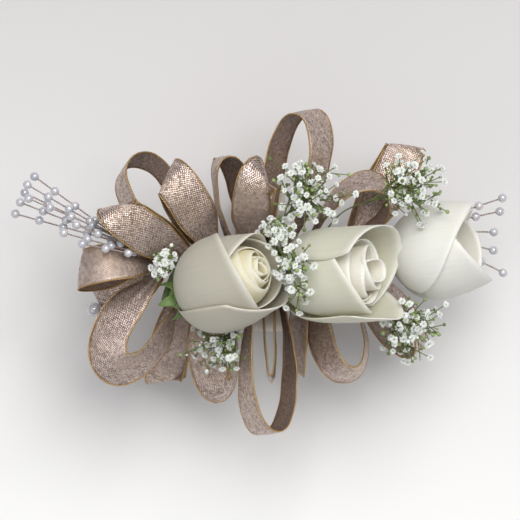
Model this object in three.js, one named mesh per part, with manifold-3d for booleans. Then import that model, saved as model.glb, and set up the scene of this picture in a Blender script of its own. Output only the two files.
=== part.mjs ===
// Wrist corsage: three wired roses, ribbon loops, baby's breath and pearl sprays bound to one
// taped spine. A metal clip folds its prongs over the spine and holds it on an elastic wristband.
// Millimetres, +Z up out of the back of the wrist, +X along the forearm, origin at the centre
// of the wrist.
import * as THREE from "three";
import { mergeVertices } from "three/addons/utils/BufferGeometryUtils.js";
import Module from "manifold-3d";

const wasm = await Module();
wasm.setup();

// Driving dimensions
const CLEARANCE = 0.3; // air left between two pieces that seat on each other

const WRIST_WIDTH = 56; // inside of the relaxed wristband, across the wrist
const WRIST_HEIGHT = 42; // inside of the relaxed wristband, palm to back of the wrist
const BAND_WIDTH = 20;
const BAND_THICKNESS = 1.2;
const BAND_CORNER = 15; // radius in which the band rounds the wrist
const BAND_STRETCH_HEIGHT = 12; // height of the side stretches that lengthen when the band is pulled

const PLATE_LENGTH = 30; // clip plate, along the forearm
const PLATE_WIDTH = 16; // clip plate, across the wrist
const PLATE_THICKNESS = 0.8;
const PRONG_WIDTH = 3.2;
const PRONG_WRAP = 62; // degrees that a prong folds over past the side of the spine

const SPINE_RADIUS = 4.5; // taped bundle of stems
const SPINE_CORE_RADIUS = 2.2; // bare wires inside the tape
const SPINE_LEFT = -42;
const SPINE_RIGHT = 40;
const SPINE_CHAMFER = 0.8;

const RIBBON_WIDTH = 17;
const RIBBON_THICKNESS = 0.6;
const RIBBON_PINCH = 0.24; // share of the width left where the ribbon is gathered on the spine
const LOOP_GATHER = 0.3; // share of a loop's length over which it widens from the pinch
const TAIL_GATHER = 0.5;
const LEG_GAP = 1.1; // half the distance between the two legs of a loop at the spine

const PETAL_THICKNESS = 0.7;
const PETAL_GAP = 0.65; // air between two layers of petals
const PETAL_ROUNDING = 0.2; // share of its height that a petal loses at its two upper corners
const PETAL_CURL_START = 0.62; // share of a petal's height above which it rolls outward
const PETAL_FOOT = 0.55; // share of its full spread that a petal has at its foot
const PETAL_WIDEST = 0.65; // share of its height at which a petal is widest
const PETAL_SHOULDER = 0.9; // share of its height above which it narrows no further
const PETAL_BASE_RADIUS = 3.4;
const HIP_RADIUS = 4.4; // green seed cup under a rose
const HIP_HEIGHT = 5.5;
const SEPAL_LENGTH = 9;
const SEPAL_WIDTH = 4.4;
const SEPAL_THICKNESS = 0.8;
const SEPALS = 5;
const ROSE_STEM_RADIUS = 1.5;

const TWIG_RADIUS = 0.55; // stems of the baby's breath
const BRANCH_RADIUS = 0.385;
const FLORET_RADIUS = 1.9;
const FIRST_BRANCH = 0.7; // share of a twig's length at which it starts to divide
const SHORT_BRANCH = 0.72; // every second branch is shorter by this share
const BEAD_RADIUS = 1.8; // pearls of the sprays
const BEAD_SPACING = 10;
const WIRE_RADIUS = 0.4;
const FIRST_WIRE = 0.75; // share of a spray's bound stem at which its wires start to part
const LAST_START = 0.99; // share of a stem's length at which its last branch leaves
const SPRAY_STEM_RADIUS = 1.1;
const GOLDEN_ANGLE = 137.508;

const PIN_LENGTH = 40;
const PIN_RADIUS = 0.5;
const PIN_HEAD_RADIUS = 2.9;
const PIN_REACH = 4; // how far its point passes beyond the middle of the spine

// What follows from them
const PLATE_BOTTOM = WRIST_HEIGHT / 2;
const BAND_TOP_INSIDE = PLATE_BOTTOM + PLATE_THICKNESS + CLEARANCE;
const SPINE_Z = BAND_TOP_INSIDE + BAND_THICKNESS + CLEARANCE + SPINE_RADIUS;
const PETAL_PITCH = PETAL_THICKNESS + PETAL_GAP;
const PIN_DROP = SPINE_CORE_RADIUS + PIN_RADIUS + 2 * CLEARANCE; // the pin runs under the bare wires
const PINNED_LENGTH = PIN_LENGTH - PIN_REACH - RIBBON_THICKNESS - CLEARANCE; // the loop under its head

// Facets
const SPINE_SIDES = 16;
const PRONG_STEPS = 6;
const CORNER_STEPS = 7;
const LOOP_STEPS = 18;
const TAIL_STEPS = 8;
const PETAL_ACROSS = 8;
const PETAL_ALONG = 6;
const HEART_SIDES = 10;
const HIP_SIDES = 8;
const SEPAL_STEPS = 3;
const STEM_STEPS = 8;
const STEM_SIDES = 7;
const TWIG_STEPS = 5;
const TWIG_SIDES = 4;
const SPRAY_STEPS = 6;
const SPRAY_SIDES = 5;
const WIRE_SIDES = 3;
const PIN_SIDES = 8;

// Materials
const material = (color, roughness, metalness = 0) =>
  new THREE.MeshStandardMaterial({ color, roughness, metalness });
const RIBBON = material(0x9c7b69, 0.42, 0.55);
const PETAL = material(0xf1e9d6, 0.6);
const HEART = material(0xf3dfae, 0.6);
const LEAF = material(0x7d9a5b, 0.65);
const TAPE = material(0x5f7a4a, 0.8);
const STEEL = material(0xb9bcc0, 0.3, 1);
const ELASTIC = material(0xece6da, 0.85);
const BLOSSOM = material(0xe8efe6, 0.7);
const PEARL = material(0xd9dde6, 0.25);

// Vectors
const vec = (x, y, z) => new THREE.Vector3(x, y, z);
const radians = THREE.MathUtils.degToRad;
const { lerp, smoothstep } = THREE.MathUtils;
const UP = vec(0, 0, 1);
const ALONG = vec(1, 0, 0);

// The unit vector at a heading counted from +X towards +Y, lifted by rise; both in degrees.
function toward(heading, rise) {
  const level = Math.cos(radians(rise));
  const x = level * Math.cos(radians(heading));
  const y = level * Math.sin(radians(heading));
  return vec(x, y, Math.sin(radians(rise)));
}

// The level direction square to a heading, to its left.
const leftOf = (heading) => vec(-Math.sin(radians(heading)), Math.cos(radians(heading)), 0);

// A point of the spine's axis, and a point given relative to that axis.
const spineAxis = (x) => vec(x, 0, SPINE_Z);
const aboveSpine = ([x, y, z]) => vec(x, y, z + SPINE_Z);

// Solids: every piece is a closed mesh, joined and cut as a solid
function signedVolume(position, index) {
  let sum = 0;
  const corner = [vec(), vec(), vec()];
  for (let i = 0; i < index.length; i += 3) {
    corner.forEach((c, k) => c.fromBufferAttribute(position, index[i + k]));
    sum += corner[0].dot(corner[1].cross(corner[2])) / 6;
  }
  return sum;
}

function solidOf(geometry) {
  const bare = geometry.clone();
  bare.deleteAttribute("normal");
  bare.deleteAttribute("uv");
  const merged = mergeVertices(bare, 1e-4);
  const position = merged.getAttribute("position");
  const triVerts = new Uint32Array(merged.index.array);
  if (signedVolume(position, triVerts) < 0) {
    for (let i = 0; i < triVerts.length; i += 3) {
      [triVerts[i + 1], triVerts[i + 2]] = [triVerts[i + 2], triVerts[i + 1]];
    }
  }
  const vertProperties = new Float32Array(position.array);
  return new wasm.Manifold(new wasm.Mesh({ numProp: 3, vertProperties, triVerts }));
}

function geometryOf(solid) {
  const mesh = solid.getMesh();
  const geometry = new THREE.BufferGeometry();
  const positions = new Float32Array(mesh.vertProperties);
  geometry.setAttribute("position", new THREE.BufferAttribute(positions, 3));
  geometry.setIndex(new THREE.BufferAttribute(new Uint32Array(mesh.triVerts), 1));
  geometry.computeVertexNormals();
  return geometry;
}

function node(name, solid, look) {
  const mesh = new THREE.Mesh(geometryOf(solid), look);
  mesh.name = name;
  return mesh;
}

function groupOf(name, children) {
  const group = new THREE.Group();
  group.name = name;
  return group.add(...children);
}

const joined = (solids) => solids.reduce((all, next) => all.add(next));

// A closed skin over rings of points that run down one face of a sheet and back up the other.
function loft(rings) {
  const count = rings[0].length;
  const last = (rings.length - 1) * count;
  const index = [];
  for (let i = 0; i + 1 < rings.length; i++) {
    for (let k = 0; k < count; k++) {
      const a = i * count + k;
      const b = i * count + ((k + 1) % count);
      index.push(a, b, a + count, b, b + count, a + count);
    }
  }
  for (let k = 0; k + 1 < count / 2; k++) {
    const far = count - 1 - k;
    index.push(k, far, k + 1, k + 1, far, far - 1);
    index.push(last + k, last + k + 1, last + far, last + k + 1, last + far - 1, last + far);
  }
  const geometry = new THREE.BufferGeometry();
  const positions = rings.flat().flatMap((p) => p.toArray());
  geometry.setAttribute("position", new THREE.Float32BufferAttribute(positions, 3));
  geometry.setIndex(index);
  return solidOf(geometry);
}

// A flat strip: stations give its centre, its width direction, its tangent and its width.
function strip(stations, thickness) {
  const rings = stations.map(({ centre, across, along, width }) => {
    const half = across.clone().multiplyScalar(width / 2);
    const lift = along.clone().cross(across).normalize().multiplyScalar(thickness / 2);
    return [
      centre.clone().add(half).add(lift),
      centre.clone().sub(half).add(lift),
      centre.clone().sub(half).sub(lift),
      centre.clone().add(half).sub(lift),
    ];
  });
  return loft(rings);
}

// A round rod along a curve.
function rod(curve, radius, steps, sides) {
  const section = new THREE.Shape();
  for (let k = 0; k < sides; k++) {
    const turn = (2 * Math.PI * k) / sides;
    const move = k ? "lineTo" : "moveTo";
    section[move](radius * Math.cos(turn), radius * Math.sin(turn));
  }
  section.closePath();
  const geometry = new THREE.ExtrudeGeometry(section, { steps, extrudePath: curve, bevelEnabled: false });
  return solidOf(geometry);
}

const straight = (from, to) => new THREE.LineCurve3(from, to);
const smooth = (points) => new THREE.CatmullRomCurve3(points, false, "centripetal");

function box(low, high) {
  const size = high.clone().sub(low);
  const middle = low.clone().add(high).multiplyScalar(0.5);
  return solidOf(new THREE.BoxGeometry(...size.toArray()).translate(...middle.toArray()));
}

// A turned solid about local +Z from [radius, height] pairs.
function turned(profile, sides) {
  const outline = profile.map(([radius, height]) => new THREE.Vector2(radius, height));
  return solidOf(new THREE.LatheGeometry(outline, sides).rotateX(Math.PI / 2));
}

// The same about the spine's axis from [x, radius] pairs.
function turnedOnSpine(profile) {
  const outline = profile.map(([x, radius]) => new THREE.Vector2(radius, x));
  const geometry = new THREE.LatheGeometry(outline, SPINE_SIDES).rotateZ(-Math.PI / 2);
  return solidOf(geometry.translate(0, 0, SPINE_Z));
}

// The spine, grown by the clearance: what seats on it is cut by this
const spineSeat = turnedOnSpine([
  [SPINE_LEFT - CLEARANCE, 0],
  [SPINE_LEFT - CLEARANCE, SPINE_RADIUS + CLEARANCE],
  [SPINE_RIGHT + CLEARANCE, SPINE_RADIUS + CLEARANCE],
  [SPINE_RIGHT + CLEARANCE, 0],
]);

// Ribbon loops. A loop leaves the spine at x, runs out along its heading and rise, and bulges
// to both sides of that line by half its breadth. Roll turns it about the line: at 0 the loop
// stands upright and shows the flat of the ribbon from above, at 90 it lies open to the top.
// Twist turns the ribbon about its own length, one way on the first leg and back on the second,
// and cone turns it the same way all round, so that one edge makes a wider loop than the other.
// Lift moves its root off the spine's axis, and bend raises its far end.
const FULLEST = 0.77; // greatest value of sin(a) sin(a / 2), where a teardrop is widest

const LOOPS = [
  {
    name: "left_back", x: -31, heading: 117, rise: -12, roll: 66,
    length: 46, breadth: 20, twist: 0, cone: 0, lift: -1, bend: 8,
  },
  {
    name: "left_high", x: -18, heading: 119, rise: 28, roll: -24,
    length: 43, breadth: 11, twist: 0, cone: -24, lift: 1, bend: 0,
  },
  {
    name: "left_wide", x: -25, heading: 147, rise: 36, roll: 28,
    length: 47, breadth: 9, twist: 0, cone: 28, lift: 5, bend: -1,
  },
  {
    name: "left_end", x: -40, heading: 186, rise: 36, roll: -10,
    length: 38, breadth: 16, twist: 0, cone: 19, lift: 2.5, bend: -4,
  },
  {
    name: "left_pinned", x: -34, heading: 211, rise: -5, roll: 6,
    length: PINNED_LENGTH, breadth: 6, twist: 10, cone: 0, lift: -PIN_DROP, bend: 0,
  },
  {
    name: "left_low", x: -29.5, heading: 236, rise: 18, roll: -74,
    length: 54, breadth: 20, twist: 0, cone: -45, lift: 0, bend: 2,
  },
  {
    name: "low_1", x: -26, heading: 256, rise: -20, roll: -20,
    length: 54, breadth: 8, twist: 0, cone: -30, lift: -2, bend: -4,
  },
  {
    name: "low_2", x: -19.5, heading: 275, rise: 5, roll: -65,
    length: 53, breadth: 12, twist: 0, cone: -35, lift: -2, bend: -5,
  },
  {
    name: "low_long", x: 3, heading: 270, rise: 7.5, roll: -60,
    length: 70, breadth: 20, twist: 28, cone: 0, lift: 0.8, bend: 5,
  },
  {
    name: "low_thin", x: 2.9, heading: 272, rise: 12, roll: 90,
    length: 49, breadth: 3.6, twist: 0, cone: 0, lift: -2.5, bend: -3,
  },
  {
    name: "low_right", x: 27, heading: 282, rise: 0, roll: -75,
    length: 47, breadth: 18, twist: 0, cone: -22, lift: -3, bend: 10,
  },
  {
    name: "right_low", x: 36.5, heading: 306, rise: -2, roll: 70,
    length: 46, breadth: 13, twist: 8, cone: 0, lift: -4, bend: -5,
  },
  {
    name: "high_1", x: -7.5, heading: 101, rise: 15, roll: 70,
    length: 43, breadth: 10, twist: 0, cone: -15, lift: 3, bend: 6,
  },
  {
    name: "high_2", x: -1.7, heading: 86, rise: 38, roll: 40,
    length: 43, breadth: 8, twist: 0, cone: 40, lift: 2.5, bend: -3,
  },
  {
    name: "high_tall", x: 6, heading: 77, rise: 18, roll: -58,
    length: 64, breadth: 20, twist: 6, cone: 0, lift: -1.5, bend: -9,
  },
  {
    name: "high_open", x: 19, heading: 45, rise: 22, roll: 70,
    length: 46, breadth: 20, twist: 0, cone: 0, lift: -0.5, bend: -5,
  },
  {
    name: "right_high", x: 34, heading: 62, rise: -15, roll: -20,
    length: 54, breadth: 10, twist: 0, cone: -25, lift: -4.6, bend: 12,
  },
];

class Teardrop extends THREE.Curve {
  constructor({ x, heading, rise, roll, length, breadth, lift, bend }) {
    super();
    this.root = spineAxis(x).add(vec(0, 0, lift));
    this.outward = toward(heading, rise);
    const level = leftOf(heading);
    this.bulge = this.outward.clone().cross(level).applyAxisAngle(this.outward, -radians(roll));
    this.across = level.applyAxisAngle(this.outward, -radians(roll));
    this.length = length;
    this.breadth = breadth;
    this.bend = bend;
  }

  getPoint(share) {
    const turn = 2 * Math.PI * share;
    const out = (1 - Math.cos(turn)) / 2;
    const swell = (Math.sin(turn) * Math.sin(turn / 2) * this.breadth) / (2 * FULLEST);
    const apart = LEG_GAP * Math.cos(Math.PI * share) * (1 - out);
    return this.root
      .clone()
      .addScaledVector(this.outward, this.length * out)
      .addScaledVector(this.bulge, swell + apart)
      .addScaledVector(UP, this.bend * out * out);
  }
}

// The width of a ribbon at a share of the way from the spine over which it is gathered.
function gatheredWidth(share, gather) {
  return RIBBON_WIDTH * lerp(RIBBON_PINCH, 1, smoothstep(share, 0, gather));
}

function ribbonLoop(loop) {
  const curve = new Teardrop(loop);
  const stations = [];
  for (let i = 0; i <= LOOP_STEPS; i++) {
    const share = i / LOOP_STEPS;
    const along = curve.getTangentAt(share);
    const across = curve.across.clone().addScaledVector(along, -along.dot(curve.across)).normalize();
    const open = smoothstep(Math.min(share, 1 - share), 0, LOOP_GATHER);
    across.applyAxisAngle(along, radians(loop.twist * (1 - 2 * share) + loop.cone * open));
    const width = gatheredWidth(Math.min(share, 1 - share), LOOP_GATHER);
    stations.push({ centre: curve.getPointAt(share), across, along, width });
  }
  return strip(stations, RIBBON_THICKNESS).subtract(spineSeat);
}

// A ribbon tail: one end is bound to the spine, the other is cut square.
const TAIL = { x: 17.5, heading: 266, rise: -6, roll: 64, length: 45, lift: -2, sag: 6 };

function ribbonTail({ x, heading, rise, roll, length, lift, sag }) {
  const root = spineAxis(x).add(vec(0, 0, lift));
  const outward = toward(heading, rise);
  const middle = root.clone().addScaledVector(outward, length / 2).addScaledVector(UP, sag / 2);
  const end = root.clone().addScaledVector(outward, length).addScaledVector(UP, -sag / 2);
  const curve = new THREE.QuadraticBezierCurve3(root, middle, end);
  const stations = [];
  for (let i = 0; i <= TAIL_STEPS; i++) {
    const share = i / TAIL_STEPS;
    const along = curve.getTangentAt(share);
    const across = leftOf(heading).applyAxisAngle(along, radians(roll));
    const width = gatheredWidth(share, TAIL_GATHER);
    stations.push({ centre: curve.getPointAt(share), across, along, width });
  }
  return strip(stations, RIBBON_THICKNESS).subtract(spineSeat);
}

// Roses. Each has a heart and four petals in layers round it, a seed cup with five sepals and a
// taped wire stem that runs to the spine. Base and via are counted from the spine's axis; heart is
// the width of the heart as a share of the room inside the petals, and crown its height as a share
// of the rose's. Petal angles are counted about the rose's axis from the side that faces up,
// positive towards -Y for a rose that points along +X. Belly and flare shape the outline below.
// Half is half the angle that a petal spans, and reach the share of the rose's height that it has.
// Slant makes it taller on one side than on the other, and skew turns its rim past its foot.
const ROSES = [
  {
    name: "rose_left",
    base: [-26.5, -13, 21.4],
    heading: 20,
    rise: 33,
    radius: 15,
    height: 37,
    belly: 1.3,
    flare: -0.3,
    heart: 0.96,
    crown: 1,
    seat: -31,
    via: [-35.5, -8, 8],
    petals: [
      { angle: 170, half: 95, reach: 0.97, curl: 0.4, slant: 0, skew: 0 },
      { angle: -95, half: 80, reach: 0.97, curl: 0.8, slant: 0, skew: 0 },
      { angle: -30, half: 85, reach: 0.88, curl: 1.2, slant: 0.17, skew: 15 },
      { angle: 60, half: 62, reach: 0.95, curl: 1.6, slant: 0.05, skew: 40 },
    ],
  },
  {
    name: "rose_middle",
    base: [13, -8, 17.4],
    heading: 7,
    rise: 28,
    radius: 15.5,
    height: 43.5,
    belly: 1,
    flare: -0.12,
    heart: 0.94,
    crown: 0.86,
    seat: -4,
    via: [-6, -5, 9],
    petals: [
      { angle: 190, half: 46, reach: 0.46, curl: 0.5, slant: 0, skew: 0 },
      { angle: 0, half: 85, reach: 0.6, curl: 0.3, slant: 0.5, skew: 0 },
      { angle: -125, half: 105, reach: 0.98, curl: 0.9, slant: 0.06, skew: 0 },
      { angle: 105, half: 50, reach: 0.98, curl: 1.4, slant: 0, skew: 0 },
    ],
  },
  {
    name: "rose_right",
    base: [58, 0, 4.2],
    heading: 12,
    rise: 12,
    radius: 16.5,
    height: 31,
    belly: 1.05,
    flare: -0.35,
    heart: 0.85,
    crown: 0.8,
    seat: 34,
    via: [40, -1.5, 2.5],
    petals: [
      { angle: 175, half: 90, reach: 0.95, curl: 0.5, slant: 0, skew: 0 },
      { angle: -85, half: 80, reach: 0.97, curl: 1, slant: 0, skew: 0 },
      { angle: 70, half: 92, reach: 1, curl: 1.2, slant: 0, skew: 0 },
      { angle: -20, half: 80, reach: 0.84, curl: 1.0, slant: -0.35, skew: 0 },
    ],
  },
];

// The outline of a rose from its base to its rim: belly is how wide it is low down, and flare how
// far its rim opens. The shoulder is given as shares of the rose's radius and height.
const OUTLINE_SHOULDER = [1.12, 0.62];

function roseOutline({ radius, height, belly, flare }) {
  return new THREE.CubicBezierCurve(
    new THREE.Vector2(PETAL_BASE_RADIUS, 0),
    new THREE.Vector2(radius * belly, 0),
    new THREE.Vector2(radius * OUTLINE_SHOULDER[0], height * OUTLINE_SHOULDER[1]),
    new THREE.Vector2(radius * (1 + flare), height),
  );
}

// A point of that outline moved outward, square to it.
function outlinePoint(outline, share, outward) {
  const at = outline.getPoint(share);
  const along = outline.getTangent(share);
  return [at.x + along.y * outward, at.y - along.x * outward];
}

function petalPoint(outline, { angle, half, reach, curl, slant, skew }, layer, side, height, offset) {
  const share = height * reach * (1 + slant * side - PETAL_ROUNDING * side * side);
  const rolled = Math.max(0, share - PETAL_CURL_START) / (1 - PETAL_CURL_START);
  const outward = layer * PETAL_PITCH + offset + curl * rolled * rolled;
  const [radius, z] = outlinePoint(outline, share, outward);
  const belly = Math.sin((Math.PI * Math.min(share, PETAL_SHOULDER)) / (2 * PETAL_WIDEST));
  const turn = radians(angle + skew * share + side * half * lerp(PETAL_FOOT, 1, belly));
  return vec(radius * Math.cos(turn), radius * Math.sin(turn), z);
}

function petal(rose, shape, layer) {
  const outline = roseOutline(rose);
  const rings = [];
  for (let j = 0; j <= PETAL_ALONG; j++) {
    const row = (offset) => {
      const points = [];
      for (let i = 0; i <= PETAL_ACROSS; i++) {
        const side = (2 * i) / PETAL_ACROSS - 1;
        points.push(petalPoint(outline, shape, layer, side, j / PETAL_ALONG, offset));
      }
      return points;
    };
    rings.push([...row(0), ...row(PETAL_THICKNESS).reverse()]);
  }
  return loft(rings);
}

// The heart follows the outline inside the petals up to its rim, then closes over. Crown points
// are shares of the rim's radius and of the rose's height.
const HEART_SHARES = [0.08, 0.2, 0.35, 0.5, 0.65, 0.8, 0.9];
const HEART_CROWN = [[0.75, 0.95], [0.35, 0.98], [0, 0.94]];

function heart(rose) {
  const outline = roseOutline(rose);
  const body = HEART_SHARES.map((share) => {
    const [radius, z] = outlinePoint(outline, share * rose.crown, -PETAL_GAP);
    return [radius * rose.heart, z];
  });
  const rim = body.at(-1)[0];
  const top = rose.height * rose.crown;
  const crown = HEART_CROWN.map(([across, up]) => [rim * across, top * up]);
  return turned([[0, PETAL_GAP], ...body, ...crown], HEART_SIDES);
}

// The seed cup hangs under the lowest layer of petals, and its core rises between their feet to
// the heart. Its sepals bend outward and back. Cup points are shares of its radius and of its
// height, counted down from its top.
const HIP_PROFILE = [[0.7, 0.8], [1.05, 0.35], [1, 0]];
const SEPAL_SEAT = 0.6; // share of the cup's radius where a sepal starts
const SEPAL_OUT = 0.5; // share of its length that a sepal runs outward before it turns back
const SEPAL_LEAN = 0.05;
const SEPAL_DROP = 0.7;
const SEPAL_POINT = 0.12; // share of its width left at its tip
const SEPAL_FOOT = 0.22; // where along its own swelling a sepal starts

function calyxTop(rose) {
  return -rose.petals.length * PETAL_PITCH - CLEARANCE;
}

function sepal(turn, top) {
  const outward = vec(Math.cos(turn), Math.sin(turn), 0);
  const across = vec(-Math.sin(turn), Math.cos(turn), 0);
  const start = outward.clone().multiplyScalar(HIP_RADIUS * SEPAL_SEAT).setZ(top - SEPAL_THICKNESS);
  const middle = start.clone().addScaledVector(outward, SEPAL_LENGTH * SEPAL_OUT);
  const end = middle.clone().addScaledVector(outward, SEPAL_LENGTH * SEPAL_LEAN);
  end.z -= SEPAL_LENGTH * SEPAL_DROP;
  const curve = new THREE.QuadraticBezierCurve3(start, middle, end);
  const stations = [];
  for (let i = 0; i <= SEPAL_STEPS; i++) {
    const share = i / SEPAL_STEPS;
    const swelling = Math.sin(Math.PI * lerp(SEPAL_FOOT, 1, share));
    const width = SEPAL_WIDTH * lerp(SEPAL_POINT, 1, swelling);
    stations.push({ centre: curve.getPointAt(share), across, along: curve.getTangentAt(share), width });
  }
  return strip(stations, SEPAL_THICKNESS);
}

function calyx(rose) {
  const top = calyxTop(rose);
  const cup = HIP_PROFILE.map(([across, down]) => [HIP_RADIUS * across, top - HIP_HEIGHT * down]);
  const foot = top - HIP_HEIGHT;
  const core = PETAL_BASE_RADIUS - CLEARANCE;
  const seat = PETAL_GAP - CLEARANCE;
  const rise = [[core, top], [core, seat], [0, seat]];
  const pieces = [turned([[0, foot], [ROSE_STEM_RADIUS, foot], ...cup, ...rise], HIP_SIDES)];
  for (let k = 0; k < SEPALS; k++) {
    pieces.push(sepal((2 * Math.PI * k) / SEPALS, top));
  }
  return joined(pieces);
}

// The rose's own frame: local +Z is its axis, local +X the side that faces up.
function roseFrame({ base, heading, rise }) {
  const axis = toward(heading, rise);
  const front = UP.clone().addScaledVector(axis, -axis.dot(UP)).normalize();
  const frame = new THREE.Matrix4().makeBasis(front, axis.clone().cross(front), axis);
  return frame.setPosition(aboveSpine(base));
}

function roseStem(rose) {
  const frame = roseFrame(rose);
  const bottom = calyxTop(rose) - HIP_HEIGHT - CLEARANCE;
  const start = vec(0, 0, bottom).applyMatrix4(frame);
  const lead = vec(0, 0, bottom - 2 * ROSE_STEM_RADIUS).applyMatrix4(frame);
  const curve = smooth([start, lead, aboveSpine(rose.via), spineAxis(rose.seat)]);
  return rod(curve, ROSE_STEM_RADIUS, STEM_STEPS, STEM_SIDES).subtract(spineSeat);
}

function roseNodes(rose) {
  const head = [
    node(`${rose.name}_heart`, heart(rose), HEART),
    ...rose.petals.map((shape, layer) => {
      return node(`${rose.name}_petal_${layer + 1}`, petal(rose, shape, layer), PETAL);
    }),
    node(`${rose.name}_calyx`, calyx(rose), LEAF),
  ];
  const placed = groupOf(`${rose.name}_head`, head);
  placed.applyMatrix4(roseFrame(rose));
  return groupOf(rose.name, [placed, node(`${rose.name}_stem`, roseStem(rose), TAPE)]);
}

// Baby's breath. Each sprig is a twig from the spine to a crown, where it divides into fine
// branches that each end in a floret; the branches fan out evenly in a cone.
const SPRIGS = [
  {
    name: "top", x: 4, via: [8, 15, 18], crown: [15, 23, 21],
    heading: 50, rise: 40, spread: 50, reach: 16, florets: 9,
  },
  {
    name: "inner", x: -1, via: [9, 10, 8], crown: [7, 8, 26],
    heading: 95, rise: 60, spread: 50, reach: 8, florets: 7,
  },
  {
    name: "top_right", x: 19.5, via: [33, 19, 15], crown: [56, 27, 23],
    heading: 30, rise: 40, spread: 50, reach: 15, florets: 9,
  },
  {
    name: "front", x: 9, via: [5, 9, 22], crown: [12, -4, 39.5],
    heading: -10, rise: 60, spread: 60, reach: 11, florets: 8,
  },
  {
    name: "low_right", x: 33, via: [45, -19, 7], crown: [55, -22, 11],
    heading: -35, rise: 35, spread: 46, reach: 15, florets: 9,
  },
  {
    name: "low_left", x: -10, via: [-4, -16, 3], crown: [-14, -28, 13],
    heading: -100, rise: 25, spread: 48, reach: 13, florets: 8,
  },
  {
    name: "left", x: -35, via: [-37, -1, 15], crown: [-37, -1, 21],
    heading: 190, rise: 65, spread: 56, reach: 7, florets: 6,
  },
];

// Unit vectors that fill a cone about an axis, evenly, by the golden angle.
function coneDirections(axis, spread, count) {
  const side = axis.clone().cross(UP).normalize();
  const found = [];
  for (let k = 0; k < count; k++) {
    const lean = spread * Math.sqrt((k + 0.5) / count);
    const tilted = axis.clone().applyAxisAngle(side, radians(lean));
    found.push(tilted.applyAxisAngle(axis, radians(k * GOLDEN_ANGLE)));
  }
  return found;
}

function sprig({ x, via, crown, heading, rise, spread, reach, florets }) {
  const top = aboveSpine(crown);
  const twig = smooth([spineAxis(x), aboveSpine(via), top]);
  const pieces = [rod(twig, TWIG_RADIUS, TWIG_STEPS, TWIG_SIDES)];
  coneDirections(toward(heading, rise), spread, florets).forEach((out, k) => {
    const start = twig.getPointAt(lerp(FIRST_BRANCH, LAST_START, k / (florets - 1)));
    const tip = top.clone().addScaledVector(out, k % 2 ? reach * SHORT_BRANCH : reach);
    const floret = new THREE.OctahedronGeometry(FLORET_RADIUS, 0).translate(...tip.toArray());
    pieces.push(rod(straight(start, tip), BRANCH_RADIUS, 1, WIRE_SIDES), solidOf(floret));
  });
  return joined(pieces).subtract(spineSeat);
}

// Pearl sprays: wires that leave one bound stem and carry beads at even steps from their tips.
const SPRAYS = [
  {
    name: "pearl_spray_left",
    x: -39,
    stem: [-47, 2, 9],
    fan: [-58, 10, 14],
    wires: [
      { heading: 168, rise: 7, length: 41, beads: 5 },
      { heading: 161, rise: 14, length: 41, beads: 4 },
      { heading: 155, rise: 5, length: 40, beads: 5 },
      { heading: 150, rise: 18, length: 42, beads: 4 },
      { heading: 144, rise: 7, length: 40, beads: 4 },
      { heading: 157, rise: 26, length: 41, beads: 4 },
    ],
  },
  {
    name: "pearl_spray_right",
    x: 38,
    stem: [51, 9, -9],
    fan: [63, 13, -13],
    wires: [
      { heading: 19, rise: 13, length: 38, beads: 2 },
      { heading: 11, rise: 4, length: 35, beads: 2 },
      { heading: -3, rise: 2, length: 32, beads: 2 },
      { heading: -16, rise: 2, length: 33, beads: 2 },
      { heading: -27, rise: 3, length: 40, beads: 2 },
    ],
  },
];

function pearlSpray({ x, stem, fan, wires }) {
  const top = aboveSpine(fan);
  const bound = smooth([spineAxis(x), aboveSpine(stem), top]);
  const pieces = [rod(bound, SPRAY_STEM_RADIUS, SPRAY_STEPS, SPRAY_SIDES)];
  wires.forEach(({ heading, rise, length, beads }, i) => {
    const tip = top.clone().addScaledVector(toward(heading, rise), length);
    const start = bound.getPointAt(lerp(FIRST_WIRE, LAST_START, i / (wires.length - 1)));
    const out = tip.clone().sub(start).normalize();
    pieces.push(rod(straight(start, tip), WIRE_RADIUS, 1, WIRE_SIDES));
    for (let k = 0; k < beads; k++) {
      const at = tip.clone().addScaledVector(out, -k * BEAD_SPACING);
      pieces.push(solidOf(new THREE.IcosahedronGeometry(BEAD_RADIUS, 0).translate(...at.toArray())));
    }
  });
  return joined(pieces).subtract(spineSeat);
}

// The pearl-headed pin runs through the tip of the pinned loop into the tape, under the wires.
const pinnedLoop = LOOPS.find(({ name }) => name === "left_pinned");
const pinOut = toward(pinnedLoop.heading, pinnedLoop.rise);
const pinTip = spineAxis(pinnedLoop.x)
  .addScaledVector(UP, pinnedLoop.lift)
  .addScaledVector(pinOut, -PIN_REACH);
const pinAt = (distance) => pinTip.clone().addScaledVector(pinOut, distance);
const pinRod = (radius, from, to) => rod(straight(pinAt(from), pinAt(to)), radius, 1, PIN_SIDES);
const pinHole = pinRod(PIN_RADIUS + CLEARANCE, -CLEARANCE, PIN_LENGTH + CLEARANCE);

function pinHead() {
  const centre = pinAt(PIN_LENGTH + PIN_HEAD_RADIUS);
  const pearl = new THREE.IcosahedronGeometry(PIN_HEAD_RADIUS, 1).translate(...centre.toArray());
  return solidOf(pearl).subtract(pinHole);
}

// The spine: bare wires in a sleeve of floral tape
function spineTape() {
  const inside = SPINE_CORE_RADIUS + CLEARANCE;
  return turnedOnSpine([
    [SPINE_LEFT, inside],
    [SPINE_LEFT, SPINE_RADIUS - SPINE_CHAMFER],
    [SPINE_LEFT + SPINE_CHAMFER, SPINE_RADIUS],
    [SPINE_RIGHT - SPINE_CHAMFER, SPINE_RADIUS],
    [SPINE_RIGHT, SPINE_RADIUS - SPINE_CHAMFER],
    [SPINE_RIGHT, inside],
    [SPINE_LEFT, inside],
  ]).subtract(pinHole);
}

function spineWires() {
  return turnedOnSpine([
    [SPINE_LEFT, 0],
    [SPINE_LEFT, SPINE_CORE_RADIUS],
    [SPINE_RIGHT, SPINE_CORE_RADIUS],
    [SPINE_RIGHT, 0],
  ]);
}

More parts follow.
